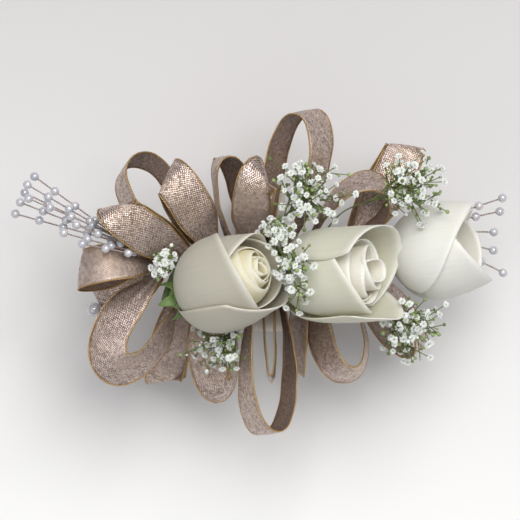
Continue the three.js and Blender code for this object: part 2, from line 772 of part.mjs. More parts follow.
// The clip: a plate under the elastic with a prong at each corner folded round the spine
function prong(x, side) {
  const bend = SPINE_RADIUS + CLEARANCE + PLATE_THICKNESS / 2;
  const foot = vec(x, side * bend, PLATE_BOTTOM + PLATE_THICKNESS / 2);
  const stations = [{ centre: foot, across: ALONG, along: UP, width: PRONG_WIDTH }];
  for (let i = 0; i <= PRONG_STEPS; i++) {
    const turn = radians((PRONG_WRAP * i) / PRONG_STEPS);
    const centre = vec(x, side * bend * Math.cos(turn), SPINE_Z + bend * Math.sin(turn));
    const along = vec(0, -side * Math.sin(turn), Math.cos(turn));
    stations.push({ centre, across: ALONG, along, width: PRONG_WIDTH });
  }
  return strip(stations, PLATE_THICKNESS);
}

function stemClip() {
  const plate = box(
    vec(-PLATE_LENGTH / 2, -PLATE_WIDTH / 2, PLATE_BOTTOM),
    vec(PLATE_LENGTH / 2, PLATE_WIDTH / 2, PLATE_BOTTOM + PLATE_THICKNESS),
  );
  const x = (PLATE_LENGTH - PRONG_WIDTH) / 2;
  return joined([plate, prong(-x, -1), prong(-x, 1), prong(x, -1), prong(x, 1)]);
}

// The wristband: an oval of elastic in four stretches. The upper one lies over the clip plate,
// the lower one rounds the palm side, and the two side stretches lengthen when it is pulled.
const BAND_HALF_WIDTH = WRIST_WIDTH / 2 + BAND_THICKNESS / 2;
const BAND_TOP = BAND_TOP_INSIDE + BAND_THICKNESS / 2;
const BAND_BOTTOM = -WRIST_HEIGHT / 2 - BAND_THICKNESS / 2;
const SIDE_TOP = BAND_STRETCH_HEIGHT / 2;
const SIDE_BOTTOM = -BAND_STRETCH_HEIGHT / 2;

// Half of the oval seen along X, from the side at the given height round to the other side.
function bandArch(sideZ, crownZ) {
  const sign = Math.sign(crownZ);
  const centreY = BAND_HALF_WIDTH - BAND_CORNER;
  const centreZ = crownZ - sign * BAND_CORNER;
  const points = [[BAND_HALF_WIDTH, sideZ, 0]];
  for (const [side, from] of [[1, 0], [-1, 90]]) {
    for (let i = 0; i <= CORNER_STEPS; i++) {
      const turn = from + (90 * i) / CORNER_STEPS;
      const y = side * centreY + BAND_CORNER * Math.cos(radians(turn));
      const z = centreZ + sign * BAND_CORNER * Math.sin(radians(turn));
      points.push([y, z, turn]);
    }
  }
  points.push([-BAND_HALF_WIDTH, sideZ, 180]);
  const stations = points.map(([y, z, turn]) => ({
    centre: vec(0, y, z),
    along: vec(0, -Math.sin(radians(turn)), sign * Math.cos(radians(turn))),
    across: ALONG,
    width: BAND_WIDTH,
  }));
  return strip(stations, BAND_THICKNESS);
}

function bandSide(side) {
  const y = side * BAND_HALF_WIDTH;
  return box(
    vec(-BAND_WIDTH / 2, y - BAND_THICKNESS / 2, SIDE_BOTTOM + CLEARANCE / 2),
    vec(BAND_WIDTH / 2, y + BAND_THICKNESS / 2, SIDE_TOP - CLEARANCE / 2),
  );
}

// Assembly
const wristlet = groupOf("wristlet", [
  node("band_upper", bandArch(SIDE_TOP + CLEARANCE / 2, BAND_TOP), ELASTIC),
  node("band_lower", bandArch(SIDE_BOTTOM - CLEARANCE / 2, BAND_BOTTOM), ELASTIC),
  node("band_side_front", bandSide(-1), ELASTIC),
  node("band_side_rear", bandSide(1), ELASTIC),
  node("stem_clip", stemClip(), STEEL),
]);

const spine = groupOf("spine", [
  node("spine_tape", spineTape(), TAPE),
  node("spine_wires", spineWires(), STEEL),
]);

const ribbons = groupOf("ribbons", [
  ...LOOPS.map((loop) => {
    const solid = ribbonLoop(loop);
    return node(`ribbon_loop_${loop.name}`, loop === pinnedLoop ? solid.subtract(pinHole) : solid, RIBBON);
  }),
  node("ribbon_tail", ribbonTail(TAIL), RIBBON),
]);

const fillers = groupOf("fillers", [
  ...SPRIGS.map((shape) => node(`babys_breath_${shape.name}`, sprig(shape), BLOSSOM)),
  ...SPRAYS.map((shape) => node(shape.name, pearlSpray(shape), PEARL)),
]);

const pin = groupOf("pin", [
  node("pin_shaft", pinRod(PIN_RADIUS, 0, PIN_LENGTH), STEEL),
  node("pin_head", pinHead(), PEARL),
]);

const corsage = groupOf("corsage", [wristlet, spine, ...ROSES.map(roseNodes), ribbons, fillers, pin]);

export default corsage;
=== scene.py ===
"""Looks of a wrist corsage: woven ribbon loops, rose petals, baby's breath, pearls and an elastic band.

Lengths are written in millimetres, as the solids were drawn, and become metres in the meshes.
"""
import random
from math import asin, copysign, cos, hypot, pi, radians, sin, sqrt, tau

import bmesh
import bpy
from mathutils import Matrix, Vector
from mathutils.bvhtree import BVHTree


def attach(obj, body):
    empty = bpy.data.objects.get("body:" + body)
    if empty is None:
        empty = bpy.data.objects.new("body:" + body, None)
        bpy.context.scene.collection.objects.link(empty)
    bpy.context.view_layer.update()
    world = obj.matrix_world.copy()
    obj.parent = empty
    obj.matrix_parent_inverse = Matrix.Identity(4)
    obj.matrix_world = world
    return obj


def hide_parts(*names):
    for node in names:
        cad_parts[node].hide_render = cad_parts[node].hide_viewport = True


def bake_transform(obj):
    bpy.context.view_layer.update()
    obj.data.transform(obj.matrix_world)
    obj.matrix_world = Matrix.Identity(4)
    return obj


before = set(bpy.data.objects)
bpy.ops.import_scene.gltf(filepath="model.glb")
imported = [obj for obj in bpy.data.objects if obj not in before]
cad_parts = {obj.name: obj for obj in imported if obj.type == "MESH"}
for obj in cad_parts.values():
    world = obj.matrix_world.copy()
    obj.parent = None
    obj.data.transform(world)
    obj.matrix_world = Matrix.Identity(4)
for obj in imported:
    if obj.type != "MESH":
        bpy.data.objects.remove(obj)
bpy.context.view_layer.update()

MM = 0.001
ROOT = "corsage"

# The solids' own dimensions
WRIST_WIDTH = 56
WRIST_HEIGHT = 42
BAND_WIDTH = 20
BAND_THICKNESS = 1.2
BAND_CORNER = 15
CLEARANCE = 0.3
PLATE_LENGTH = 30
PLATE_WIDTH = 16
PLATE_THICKNESS = 0.8
PRONG_WIDTH = 3.2
PRONG_WRAP = 62
SPINE_RADIUS = 4.5
SPINE_CORE_RADIUS = 2.2
SPINE_LEFT = -42
SPINE_RIGHT = 40
RIBBON_WIDTH = 17
RIBBON_THICKNESS = 0.6
RIBBON_PINCH = 0.24
LOOP_GATHER = 0.3
TAIL_GATHER = 0.5
LEG_GAP = 1.1
FULLEST = 0.77
PETAL_PITCH = 1.35
PETAL_GAP = 0.65
PETAL_THICKNESS = 0.7
PETAL_ROUNDING = 0.2
PETAL_CURL_START = 0.62
PETAL_FOOT = 0.55
PETAL_WIDEST = 0.65
PETAL_SHOULDER = 0.9
PETAL_BASE_RADIUS = 3.4
OUTLINE_SHOULDER = (1.12, 0.62)
HIP_RADIUS = 4.4
HIP_HEIGHT = 5.5
SEPAL_LENGTH = 9
SEPAL_WIDTH = 4.4
SEPALS = 5
ROSE_STEM_RADIUS = 1.5
BRANCH_RADIUS = 0.385
FIRST_BRANCH = 0.7
SHORT_BRANCH = 0.72
BEAD_RADIUS = 1.8
BEAD_SPACING = 10
FIRST_WIRE = 0.75
LAST_START = 0.99
SPRAY_STEM_RADIUS = 1.1
GOLDEN_ANGLE = 137.508
PIN_LENGTH = 40
PIN_RADIUS = 0.5
PIN_HEAD_RADIUS = 2.9
PIN_REACH = 4

PLATE_BOTTOM = WRIST_HEIGHT / 2
BAND_TOP_INSIDE = PLATE_BOTTOM + PLATE_THICKNESS + CLEARANCE
SPINE_Z = BAND_TOP_INSIDE + BAND_THICKNESS + CLEARANCE + SPINE_RADIUS
PIN_DROP = SPINE_CORE_RADIUS + PIN_RADIUS + 2 * CLEARANCE
PINNED_LENGTH = PIN_LENGTH - PIN_REACH - RIBBON_THICKNESS - CLEARANCE
UP = Vector((0, 0, 1))

# Ribbon loops: x, heading, rise, roll, length, breadth, twist, cone, lift, bend
LOOPS = {
    "left_back": (-31, 117, -12, 66, 46, 20, 0, 0, -1, 8),
    "left_high": (-18, 119, 28, -24, 43, 11, 0, -24, 1, 0),
    "left_wide": (-25, 147, 36, 28, 47, 9, 0, 28, 5, -1),
    "left_end": (-40, 186, 36, -10, 38, 16, 0, 19, 2.5, -4),
    "left_pinned": (-34, 211, -5, 6, PINNED_LENGTH, 6, 10, 0, -PIN_DROP, 0),
    "left_low": (-29.5, 236, 18, -74, 54, 20, 0, -45, 0, 2),
    "low_1": (-26, 256, -20, -20, 54, 8, 0, -30, -2, -4),
    "low_2": (-19.5, 275, 5, -65, 53, 12, 0, -35, -2, -5),
    "low_long": (3, 270, 7.5, -60, 70, 20, 28, 0, 1.1, 5),
    "low_thin": (2.9, 272, 12, 90, 49, 3.6, 0, 0, -2.5, -3),
    "low_right": (27, 282, 0, -75, 47, 18, 0, -22, -3, 10),
    "right_low": (36.5, 306, -2, 70, 46, 13, 8, 0, -4, -5),
    "high_1": (-7.5, 101, 15, 70, 43, 10, 0, -15, 3, 6),
    "high_2": (-1.7, 86, 38, 40, 43, 8, 0, 40, 2.5, -3),
    "high_tall": (6, 77, 18, -58, 64, 20, 6, 0, -1.5, -9),
    "high_open": (19, 45, 22, 70, 46, 20, 0, 0, -0.5, -5),
    "right_high": (34, 62, -15, -20, 54, 10, 0, -25, -5.0, 12),
}
# Ribbon tail: x, heading, rise, roll, length, lift, sag
TAIL = (17.5, 266, -6, 64, 45, -2, 6)

# Roses: base and via are counted from the spine's axis
# Petals: angle, half spread, reach, curl, slant, skew
ROSES = {
    "rose_left": dict(
        base=(-26.5, -13, 21.4), heading=20, rise=33, radius=15, height=37,
        belly=1.3, flare=-0.3, heart=0.96, crown=1, seat=-31, via=(-35.5, -8, 8),
        petals=[
            (170, 95, 0.97, 0.4, 0, 0),
            (-95, 80, 0.97, 0.8, 0, 0),
            (-30, 85, 0.88, 1.2, 0.17, 15),
            (60, 62, 0.95, 0.8, 0.05, 40),
        ],
    ),
    "rose_middle": dict(
        base=(13, -8, 17.4), heading=7, rise=28, radius=15.5, height=43.5,
        belly=1, flare=-0.12, heart=0.94, crown=0.86, seat=-4, via=(-6, -5, 9),
        petals=[
            (190, 46, 0.46, 0.5, 0, 0),
            (-12, 90, 0.76, 0.3, 0.34, 0),
            (-125, 105, 0.98, 0.9, 0.06, 0),
            (105, 50, 0.98, 1.4, 0, 0),
        ],
    ),
    "rose_right": dict(
        base=(58, 0, 4.2), heading=12, rise=12, radius=16.5, height=31,
        belly=1.05, flare=-0.35, heart=0.85, crown=0.8, seat=34, via=(40, -1.5, 2.5),
        petals=[
            (175, 90, 0.95, 0.5, 0, 0),
            (-85, 80, 0.97, 1, 0, 0),
            (70, 92, 1, 1.2, 0, 0),
            (-20, 80, 0.84, 0.6, -0.35, 0),
        ],
    ),
}

# Sprigs: x, via, crown, heading, rise, spread, reach, florets
SPRIGS = {
    "top": (4, (8, 15, 18), (15, 23, 21), 50, 40, 50, 16, 9),
    "inner": (-1, (9, 10, 8), (7, 8, 26), 95, 60, 50, 8, 7),
    "top_right": (19.5, (33, 19, 15), (56, 27, 23), 30, 40, 50, 15, 9),
    "front": (9, (5, 9, 22), (12, -4, 39.5), -10, 60, 60, 11, 8),
    "low_right": (33, (45, -19, 7), (55, -22, 11), -35, 35, 46, 15, 9),
    "low_left": (-10, (-4, -16, 3), (-14, -28, 13), -100, 25, 48, 13, 8),
    "left": (-35, (-37, -1, 15), (-37, -1, 21), 190, 65, 56, 7, 6),
}

# Pearl sprays: x, stem, fan, wires of heading, rise, length, beads
SPRAYS = {
    "pearl_spray_left": (-39, (-47, 2, 9), (-58, 10, 14), [
        (168, 7, 41, 5),
        (161, 14, 41, 4),
        (155, 5, 40, 5),
        (150, 18, 42, 4),
        (144, 7, 40, 4),
        (157, 26, 41, 4),
    ]),
    "pearl_spray_right": (38, (51, 9, -9), (63, 13, -13), [
        (19, 13, 38, 2),
        (11, 4, 35, 2),
        (-3, 2, 32, 2),
        (-16, 2, 33, 2),
        (-27, 3, 40, 2),
    ]),
}


# Vectors and curves
def toward(heading, rise):
    h, r = radians(heading), radians(rise)
    return Vector((cos(r) * cos(h), cos(r) * sin(h), sin(r)))


def left_of(heading):
    h = radians(heading)
    return Vector((-sin(h), cos(h), 0))


def turned(vector, axis, degrees):
    return Matrix.Rotation(radians(degrees), 3, axis) @ vector


def standing(at, x, y, z):
    """The frame at a point with the given axes."""
    return Matrix.Translation(at) @ Matrix((x, y, z)).transposed().to_4x4()


def spine_axis(x):
    return Vector((x, 0, SPINE_Z))


def above_spine(at):
    return Vector(at) + Vector((0, 0, SPINE_Z))


def clear_of_spine(p, sunk=0.2):
    inside = hypot(p.y, p.z - SPINE_Z) < SPINE_RADIUS - sunk
    return not inside or not SPINE_LEFT < p.x < SPINE_RIGHT


def lerp(a, b, share):
    return a + (b - a) * share


def smoothstep(x, low, high):
    t = min(1, max(0, (x - low) / (high - low)))
    return t * t * (3 - 2 * t)


def catmull(points, steps):
    """Points of a centripetal Catmull-Rom curve through the given points."""
    ends = [2 * points[0] - points[1], *points, 2 * points[-1] - points[-2]]
    found = []
    for i in range(len(points) - 1):
        p = ends[i:i + 4]
        t = [0]
        for a, b in zip(p, p[1:]):
            t.append(t[-1] + max(1e-6, (b - a).length) ** 0.5)
        for k in range(steps):
            x = lerp(t[1], t[2], k / steps)
            a = [p[j].lerp(p[j + 1], (x - t[j]) / (t[j + 1] - t[j])) for j in range(3)]
            b = [a[j].lerp(a[j + 1], (x - t[j]) / (t[j + 2] - t[j])) for j in range(2)]
            found.append(b[0].lerp(b[1], (x - t[1]) / (t[2] - t[1])))
    found.append(points[-1].copy())
    return found


def even(points, count):
    """The same line in count even steps, with its length."""
    reach = [0]
    for a, b in zip(points, points[1:]):
        reach.append(reach[-1] + (b - a).length)
    found, k = [], 0
    for i in range(count + 1):
        want = reach[-1] * i / count
        while k + 2 < len(reach) and reach[k + 1] < want:
            k += 1
        share = (want - reach[k]) / max(1e-9, reach[k + 1] - reach[k])
        found.append(points[k].lerp(points[k + 1], share))
    return found, reach[-1]


def part_way(line, share):
    return even(line, 100)[0][round(100 * share)]


def shown_line(line, count):
    """The part of a line that lies outside the spine."""
    return [p for p in even(line, count)[0] if clear_of_spine(p)]


def tangents(points):
    last = len(points) - 1
    return [(points[min(i + 1, last)] - points[max(i - 1, 0)]).normalized() for i in range(last + 1)]


# Meshes
STEM_WRAP, SPRAY_WRAP, SPINE_WRAP = 3.5, 2.6, 9  # pitch of the tape
STEEP = 0.9  # rise from which a line counts as upright
TAPE_LAP = 0.1  # how far a turn of tape stands proud, as a share of the stem's radius


class Build:
    """Collects the faces of one piece, each with a material and flat coordinates in metres."""

    def __init__(self):
        self.points, self.faces, self.looks, self.flat = [], [], [], []

    def add(self, points, faces, look=0, flat=None):
        start = len(self.points)
        self.points += [Vector(p) for p in points]
        for face in faces:
            self.faces.append([start + k for k in face])
            self.looks.append(look)
            self.flat.append([flat[k] if flat else (0, 0) for k in face])

    def grid(self, rows, look=0, closed=False):
        """Quads over rows of points, with or without flat coordinates; closed joins a row's ends."""
        wide = len(rows[0])
        spans = wide if closed else wide - 1
        faces = []
        for i in range(len(rows) - 1):
            for k in range(spans):
                n = (k + 1) % wide
                faces.append((i * wide + k, i * wide + n, (i + 1) * wide + n, (i + 1) * wide + k))
        cells = [cell if isinstance(cell, tuple) else (cell, (0, 0)) for row in rows for cell in row]
        self.add([at for at, _ in cells], faces, look, [flat for _, flat in cells])

    def cap(self, row, look=0, start=False):
        order = range(len(row))
        self.add(row, [tuple(reversed(order) if start else order)], look)

    def tube(self, line, radius, sides, look=0, wrap=None):
        """A tube with closed ends; radius is a number or one number for each point of the line.

        With wrap, it is bound in tape of that pitch, each turn of which laps over the one before.
        """
        rows, run = [], 0
        for i, (p, side, other) in enumerate(carried(line)):
            if i:
                run += (p - line[i - 1]).length
            r = radius[i] if hasattr(radius, "__len__") else radius
            row = []
            for k in range(sides):
                a = tau * k / sides
                lapped = TAPE_LAP * ((run / wrap + k / sides) % 1) if wrap else 0
                at = p + spoke(side, other, a) * (r * (1 - lapped))
                row.append((at, (a * r * MM, run * MM)))
            rows.append(row)
        self.grid(rows, look, closed=True)
        self.cap([at for at, _ in rows[0]], look, start=True)
        self.cap([at for at, _ in rows[-1]], look)

    def turn(self, profile, sides, local):
        """A turned skin from (radius, height) pairs about the local Z."""
        rows, run = [], 0
        for i, (r, z) in enumerate(profile):
            if i:
                run += hypot(r - profile[i - 1][0], z - profile[i - 1][1])
            row = []
            for k in range(sides):
                a = tau * k / sides
                at = local @ Vector((r * cos(a), r * sin(a), z))
                row.append((at, (a * r * MM, run * MM)))
            rows.append(row)
        self.grid(rows, closed=True)

    def piece(self, name, looks, body=ROOT, slot=None, replaced=(), smooth=True):
        mesh = bpy.data.meshes.new(name)
        mesh.from_pydata([tuple(p * MM) for p in self.points], [], self.faces)
        for look in looks:
            mesh.materials.append(look)
        mesh.polygons.foreach_set("material_index", self.looks)
        mesh.polygons.foreach_set("use_smooth", [smooth] * len(self.faces))
        layer = mesh.uv_layers.new(name="flat")
        layer.data.foreach_set("uv", [c for face in self.flat for at in face for c in at])
        work = bmesh.new()
        work.from_mesh(mesh)
        bmesh.ops.remove_doubles(work, verts=work.verts, dist=1e-6)
        work.to_mesh(mesh)
        work.free()
        mesh.validate()
        mesh.update()
        made = placed(name, mesh)
        if body:
            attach(made, body)
        if replaced:
            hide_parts(*replaced)
        return made


def placed(name, data):
    made = bpy.data.objects.new(name, data)
    bpy.context.scene.collection.objects.link(made)
    return made


def spoke(side, other, angle):
    return side * cos(angle) + other * sin(angle)


def arc(start, middle, end, steps):
    shares = [i / steps for i in range(steps + 1)]
    return [start.lerp(middle, s).lerp(middle.lerp(end, s), s) for s in shares]


def line_side(line):
    along = (line[1] - line[0]).normalized()
    other = UP if abs(along.z) < STEEP else Vector((1, 0, 0))
    return along.cross(other).normalized()


def sides_of(at, along):
    side = line_side([at, at + along])
    return side, along.cross(side)


def carried(line):
    """Points of a line, each with two directions across it that turn as little as they can."""
    side = line_side(line)
    for p, t in zip(line, tangents(line)):
        side = (side - t * side.dot(t)).normalized()
        yield p, side, t.cross(side)


def thicken(piece, thickness):
    made = piece.modifiers.new("thickness", "SOLIDIFY")
    made.thickness = thickness * MM
    made.offset = 0
    return made


# Materials
WEAVE = 1.05  # pitch of the ribbon's weave
SPARKLE = 0.52  # size of one crossing of threads, painted bright or dull as a glint
GLINT_CLUMP = 1.3  # clumps of threads that catch the light together
GOLD_PITCH = 0.8
RIB_PITCH, THREAD_PITCH = 1.25, 0.7  # of the elastic
WHITE = (1.0, 1.0, 1.0)


def new_material(name):
    made = bpy.data.materials.new(name)
    made.use_nodes = True
    return made, made.node_tree


def feed(tree, socket, value):
    """Link a socket to another one, or set it to a value."""
    if isinstance(value, bpy.types.NodeSocket):
        tree.links.new(value, socket)
    else:
        socket.default_value = value


def node(tree, kind, inputs, **settings):
    made = tree.nodes.new(kind)
    for name, value in settings.items():
        setattr(made, name, value)
    for key, value in inputs.items():
        feed(tree, made.inputs[key], value)
    return made.outputs


def math_node(tree, operation, *values):
    return node(tree, "ShaderNodeMath", dict(enumerate(values)), operation=operation)[0]


def scaled(tree, value, factor, offset):
    return math_node(tree, "MULTIPLY_ADD", value, factor, offset)


def ramp(tree, source, stops):
    made = node(tree, "ShaderNodeValToRGB", {0: source})[0]
    band = made.node.color_ramp
    while len(band.elements) < len(stops):
        band.elements.new(0.5)
    for element, (at, colour) in zip(band.elements, stops):
        element.position = at
        element.color = (*colour, 1)
    return made


def product(tree, *colours):
    made = colours[0]
    for colour in colours[1:]:
        inputs = {0: 1.0, 6: made, 7: colour}
        made = node(tree, "ShaderNodeMix", inputs, data_type="RGBA", blend_type="MULTIPLY")[2]
    return made


def dress(tree, height=None, bump=None, **values):
    """Feed the shader's sockets, named as in base_color; a height gives its bump, strong and deep."""
    if height:
        inputs = {"Height": height, "Strength": bump[0], "Distance": bump[1] * MM}
        values["normal"] = node(tree, "ShaderNodeBump", inputs)[0]
    shader = tree.nodes["Principled BSDF"]
    for name, value in values.items():
        feed(tree, shader.inputs[name.replace("_", " ").title()], value)


def flat_axes(tree):
    """Flat coordinates of a piece in metres, then across and along alone."""
    flat = node(tree, "ShaderNodeUVMap", {}, uv_map="flat")[0]
    return flat, axis_of(tree, flat, 0), axis_of(tree, flat, 1)


def axis_of(tree, vector, axis):
    return node(tree, "ShaderNodeSeparateXYZ", {0: vector})[axis]


def position(tree):
    return node(tree, "ShaderNodeTexCoord", {})["Object"]


def noise(tree, vector, scale, detail):
    inputs = {"Vector": vector, "Scale": scale, "Detail": detail}
    return node(tree, "ShaderNodeTexNoise", inputs)[0]


def stretched(tree, vector, scale):
    return node(tree, "ShaderNodeMapping", {"Vector": vector, "Scale": scale})[0]


def random_cells(tree, flat, size):
    """A number from 0 to 1 for each square cell of the flat coordinates."""
    inputs = {0: flat, 1: (size * MM, size * MM, size * MM)}
    snapped = node(tree, "ShaderNodeVectorMath", inputs, operation="SNAP")[0]
    return node(tree, "ShaderNodeTexWhiteNoise", {"Vector": snapped}, noise_dimensions="2D")["Value"]


def halved(tree, value):
    """A value from -1 to 1 brought to 0 to 1."""
    return scaled(tree, value, 0.5, 0.5)


def sine(tree, value, pitch):
    return math_node(tree, "SINE", math_node(tree, "MULTIPLY", value, tau / (pitch * MM)))


def woven(tree, pitch_across, pitch_along):
    """Height of a plain weave: threads over and under each other."""
    _, across, along = flat_axes(tree)
    warp, weft = sine(tree, across, pitch_across), sine(tree, along, pitch_along)
    return halved(tree, math_node(tree, "MULTIPLY", warp, weft))


# Grains, each made in a material's tree
def cloudy(scale, detail=3):
    return lambda tree: noise(tree, position(tree), scale, detail)


def wound(tree):
    """Thread wound round a wire."""
    _, across, along = flat_axes(tree)
    return halved(tree, sine(tree, math_node(tree, "ADD", across, along), GOLD_PITCH))


def crinkled(tree):
    """Paper tape stretched round a stem."""
    return noise(tree, stretched(tree, flat_axes(tree)[0], (900, 2600, 1)), 1.0, 3)


def ribbed(tree):
    """Ribs along the elastic, crossed by fine threads."""
    return woven(tree, RIB_PITCH, THREAD_PITCH)


def brushed(tree):
    return noise(tree, stretched(tree, position(tree), (150, 4000, 4000)), 1.0, 3)


def grained(name, grain, stops, bump, rough=None, **values):
    """A material toned and embossed by one grain; rough is how its roughness follows it."""
    made, tree = new_material(name)
    height = grain(tree)
    if rough:
        values["roughness"] = scaled(tree, height, *rough)
    dress(tree, height, bump, base_color=ramp(tree, height, stops), **values)
    return made


def plain(name, low, high, scale, roughness, metallic=0.0):
    """Two close tones in a fine grain."""
    stops = [(0.3, low), (0.7, high)]
    return grained(name, cloudy(scale), stops, (0.3, 0.15), roughness=roughness, metallic=metallic)


def ribbon_material(name, gap_shade, thread, shine, metallic):
    """Metallic weave with painted shade in the gaps between threads, a painted highlight on their tops
    and a painted glint of its own brightness on each crossing and each clump of threads.
    """
    made, tree = new_material(name)
    flat, _, _ = flat_axes(tree)
    height = woven(tree, WEAVE, WEAVE)
    spark = random_cells(tree, flat, SPARKLE)
    clump = random_cells(tree, flat, GLINT_CLUMP)
    cloud = cloudy(60)(tree)
    # painted shade in the gaps of the weave, a painted highlight on the threads' tops
    base = ramp(tree, height, [(0.0, gap_shade), (0.5, thread), (1.0, shine)])
    # a painted glint of its own brightness on each crossing of threads
    crossing_glint = ramp(tree, spark, [(0.0, (0.44, 0.40, 0.37)), (0.6, (0.88, 0.86, 0.84)), (1.0, WHITE)])
    warm = ramp(tree, cloud, [(0.35, (0.98, 0.94, 0.96)), (0.65, (1.0, 0.93, 0.86))])
    # a painted glint shared by each clump of threads
    clump_glint = ramp(tree, clump, [(0.0, (0.74, 0.72, 0.70)), (0.7, WHITE)])
    colour = product(tree, base, crossing_glint, warm, clump_glint)
    rough = scaled(tree, spark, -0.25, 0.5)
    dress(tree, height, (0.7, 0.22), base_color=colour, metallic=metallic, roughness=rough)
    return made


def petal_material(name, foot, body, rim, depth=0.15, deep=0.0):
    """Ivory petal: greenish foot, pale rim, partly its own paler edge and partly a painted highlight,
    and fine veins along it.
    """
    made, tree = new_material(name)
    flat, _, along = flat_axes(tree)
    tone = ramp(tree, along, [(deep, foot), (deep + 0.35, body), (0.92, body), (1.0, rim)])
    veins = noise(tree, stretched(tree, flat, (22, 1.2, 1)), 1.0, 3)
    shade = ramp(tree, veins, [(0.3, (0.955, 0.95, 0.93)), (0.7, WHITE)])
    cloud = cloudy(70, 2)(tree)
    blush = ramp(tree, cloud, [(0.35, (1.0, 0.985, 0.95)), (0.7, (0.97, 0.965, 0.955))])
    dress(
        tree, veins, (0.22, 0.2), base_color=product(tree, tone, shade, blush), roughness=0.55,
        sheen_weight=0.12, subsurface_weight=depth, subsurface_radius=(0.004, 0.003, 0.0018),
        subsurface_scale=1.0,
    )
    return made


# Tones: painted shade in the weave's gaps, the thread, then a painted highlight on the threads' tops
RIBBON = ribbon_material(
    "ribbon", (0.17, 0.12, 0.095), (0.87, 0.735, 0.665), (1.0, 0.97, 0.945), 0.7)
# The back face: the ribbon's own duller wrong side, made darker and browner still as painted shade for
# the inside of the loops
RIBBON_BACK_SHADED = ribbon_material(
    "ribbon_back_shaded", (0.11, 0.065, 0.05), (0.38, 0.275, 0.22), (0.74, 0.58, 0.49), 0.4)
# Darkest in the grooves between the windings as painted shade, brightest on their ridges as painted
# glints
GOLD = grained(
    "gold_edge", wound,
    [(0.0, (0.16, 0.07, 0.02)), (0.55, (0.50, 0.27, 0.08)), (1.0, (0.95, 0.72, 0.36))],
    (0.7, 0.2), metallic=0.8, roughness=0.35)

# Petals of each rose: foot, body and rim. They are one ivory at three levels of light: the left rose's
# copy is darkened as painted shade, the middle one's less so, with a warmer cream of its own, and the
# right rose's keeps the lightest, plain ivory.
PETALS = {
    "rose_left": petal_material(
        "petal_shaded", (0.36, 0.37, 0.235), (0.54, 0.515, 0.44), (0.75, 0.735, 0.665)),
    "rose_middle": petal_material(
        "petal_warm_half_shaded", (0.52, 0.53, 0.35), (0.70, 0.695, 0.58), (0.84, 0.84, 0.77)),
    "rose_right": petal_material(
        "petal_white", (0.58, 0.61, 0.45), (0.84, 0.835, 0.785), (0.90, 0.90, 0.87)),
}
# The same for its heart, which lets more light through, then how high the tone of its foot reaches.
# That orange or peach foot is partly the heart's own colour and partly painted shade deep in its
# hollow.
HEART_DEPTH = 0.25
HEARTS = {
    "rose_left": petal_material(
        "heart_yellow", (0.82, 0.46, 0.14), (0.93, 0.84, 0.56), (0.95, 0.92, 0.76), HEART_DEPTH, 0.42),
    "rose_middle": petal_material(
        "heart_peach", (0.74, 0.46, 0.22), (0.93, 0.90, 0.79), (0.95, 0.95, 0.90), HEART_DEPTH, 0.32),
    "rose_right": petal_material(
        "heart_pale", (0.72, 0.52, 0.26), (0.88, 0.80, 0.62), (0.90, 0.88, 0.78), HEART_DEPTH, 0.4),
}
LEAF = plain("sepal", (0.10, 0.19, 0.045), (0.24, 0.36, 0.12), 260, 0.55)
TAPE = grained(
    "floral_tape", crinkled, [(0.3, (0.075, 0.115, 0.045)), (0.7, (0.165, 0.235, 0.10))],
    (0.5, 0.2), roughness=0.75)
STEEL = grained(
    "steel", brushed, [(0.3, (0.50, 0.51, 0.53)), (0.7, (0.72, 0.72, 0.73))],
    (0.15, 0.05), rough=(0.2, 0.22), metallic=1.0)
# Darker down in the dips of the weave, as painted shade
ELASTIC = grained(
    "elastic", ribbed,
    [(0.0, (0.50, 0.45, 0.38)), (0.6, (0.72, 0.67, 0.59)), (1.0, (0.84, 0.80, 0.73))],
    (0.6, 0.25), roughness=0.8, sheen_weight=0.25)
PEARL = grained(
    "pearl", cloudy(320, 2),
    [(0.3, (0.50, 0.53, 0.60)), (0.55, (0.66, 0.66, 0.70)), (0.75, (0.72, 0.66, 0.68))],
    (0.05, 0.1), metallic=0.25, roughness=0.22, coat_weight=0.6, coat_roughness=0.1)
TWIG = plain("twig", (0.09, 0.13, 0.035), (0.22, 0.28, 0.09), 500, 0.6)
BLOSSOM = plain("blossom", (0.84, 0.87, 0.84), (0.93, 0.94, 0.92), 700, 0.6)
EYE = plain("blossom_eye", (0.20, 0.32, 0.10), (0.42, 0.52, 0.22), 900, 0.6)
SPRAY_WIRE = plain("spray_wire", (0.34, 0.27, 0.26), (0.58, 0.49, 0.47), 900, 0.4, 0.6)


# Camera, light and floor
CAMERA_HEIGHT = 2.0
FOCUS_HEIGHT = 0.045
PHOTO_WIDTH = 0.208  # what the photo's frame spans at that height
LAMP_TARGET = Vector((0, 0, 0.03))
LAMP_SIZE = 1.6
SKY = 0.57
FLOOR = 8000  # half its side
FLOOR_DROP = 0.1  # under the wristband
FLOOR_LIGHT_FADE = 3.2  # of its painted light and shade, across the frame, for each metre

camera_data = bpy.data.cameras.new("camera")
camera_data.lens = camera_data.sensor_width * CAMERA_HEIGHT / PHOTO_WIDTH
camera = placed("camera", camera_data)
camera.location = (0, 0, FOCUS_HEIGHT + CAMERA_HEIGHT)
bpy.context.scene.camera = camera
bpy.context.scene.view_settings.view_transform = "Standard"


def lamp(name, at, power, colour):
    data = bpy.data.lights.new(name, "AREA")
    data.size = LAMP_SIZE
    data.energy = power
    data.color = colour
    made = placed(name, data)
    made.location = at
    made.rotation_mode = "QUATERNION"
    made.rotation_quaternion = (LAMP_TARGET - Vector(at)).to_track_quat("-Z", "Y")


lamp("key", (0.42, 0.85, 2.15), 46.0, (1.0, 0.99, 0.975))
lamp("fill", (-1.3, -1.2, 1.8), 6.0, (0.97, 0.985, 1.0))


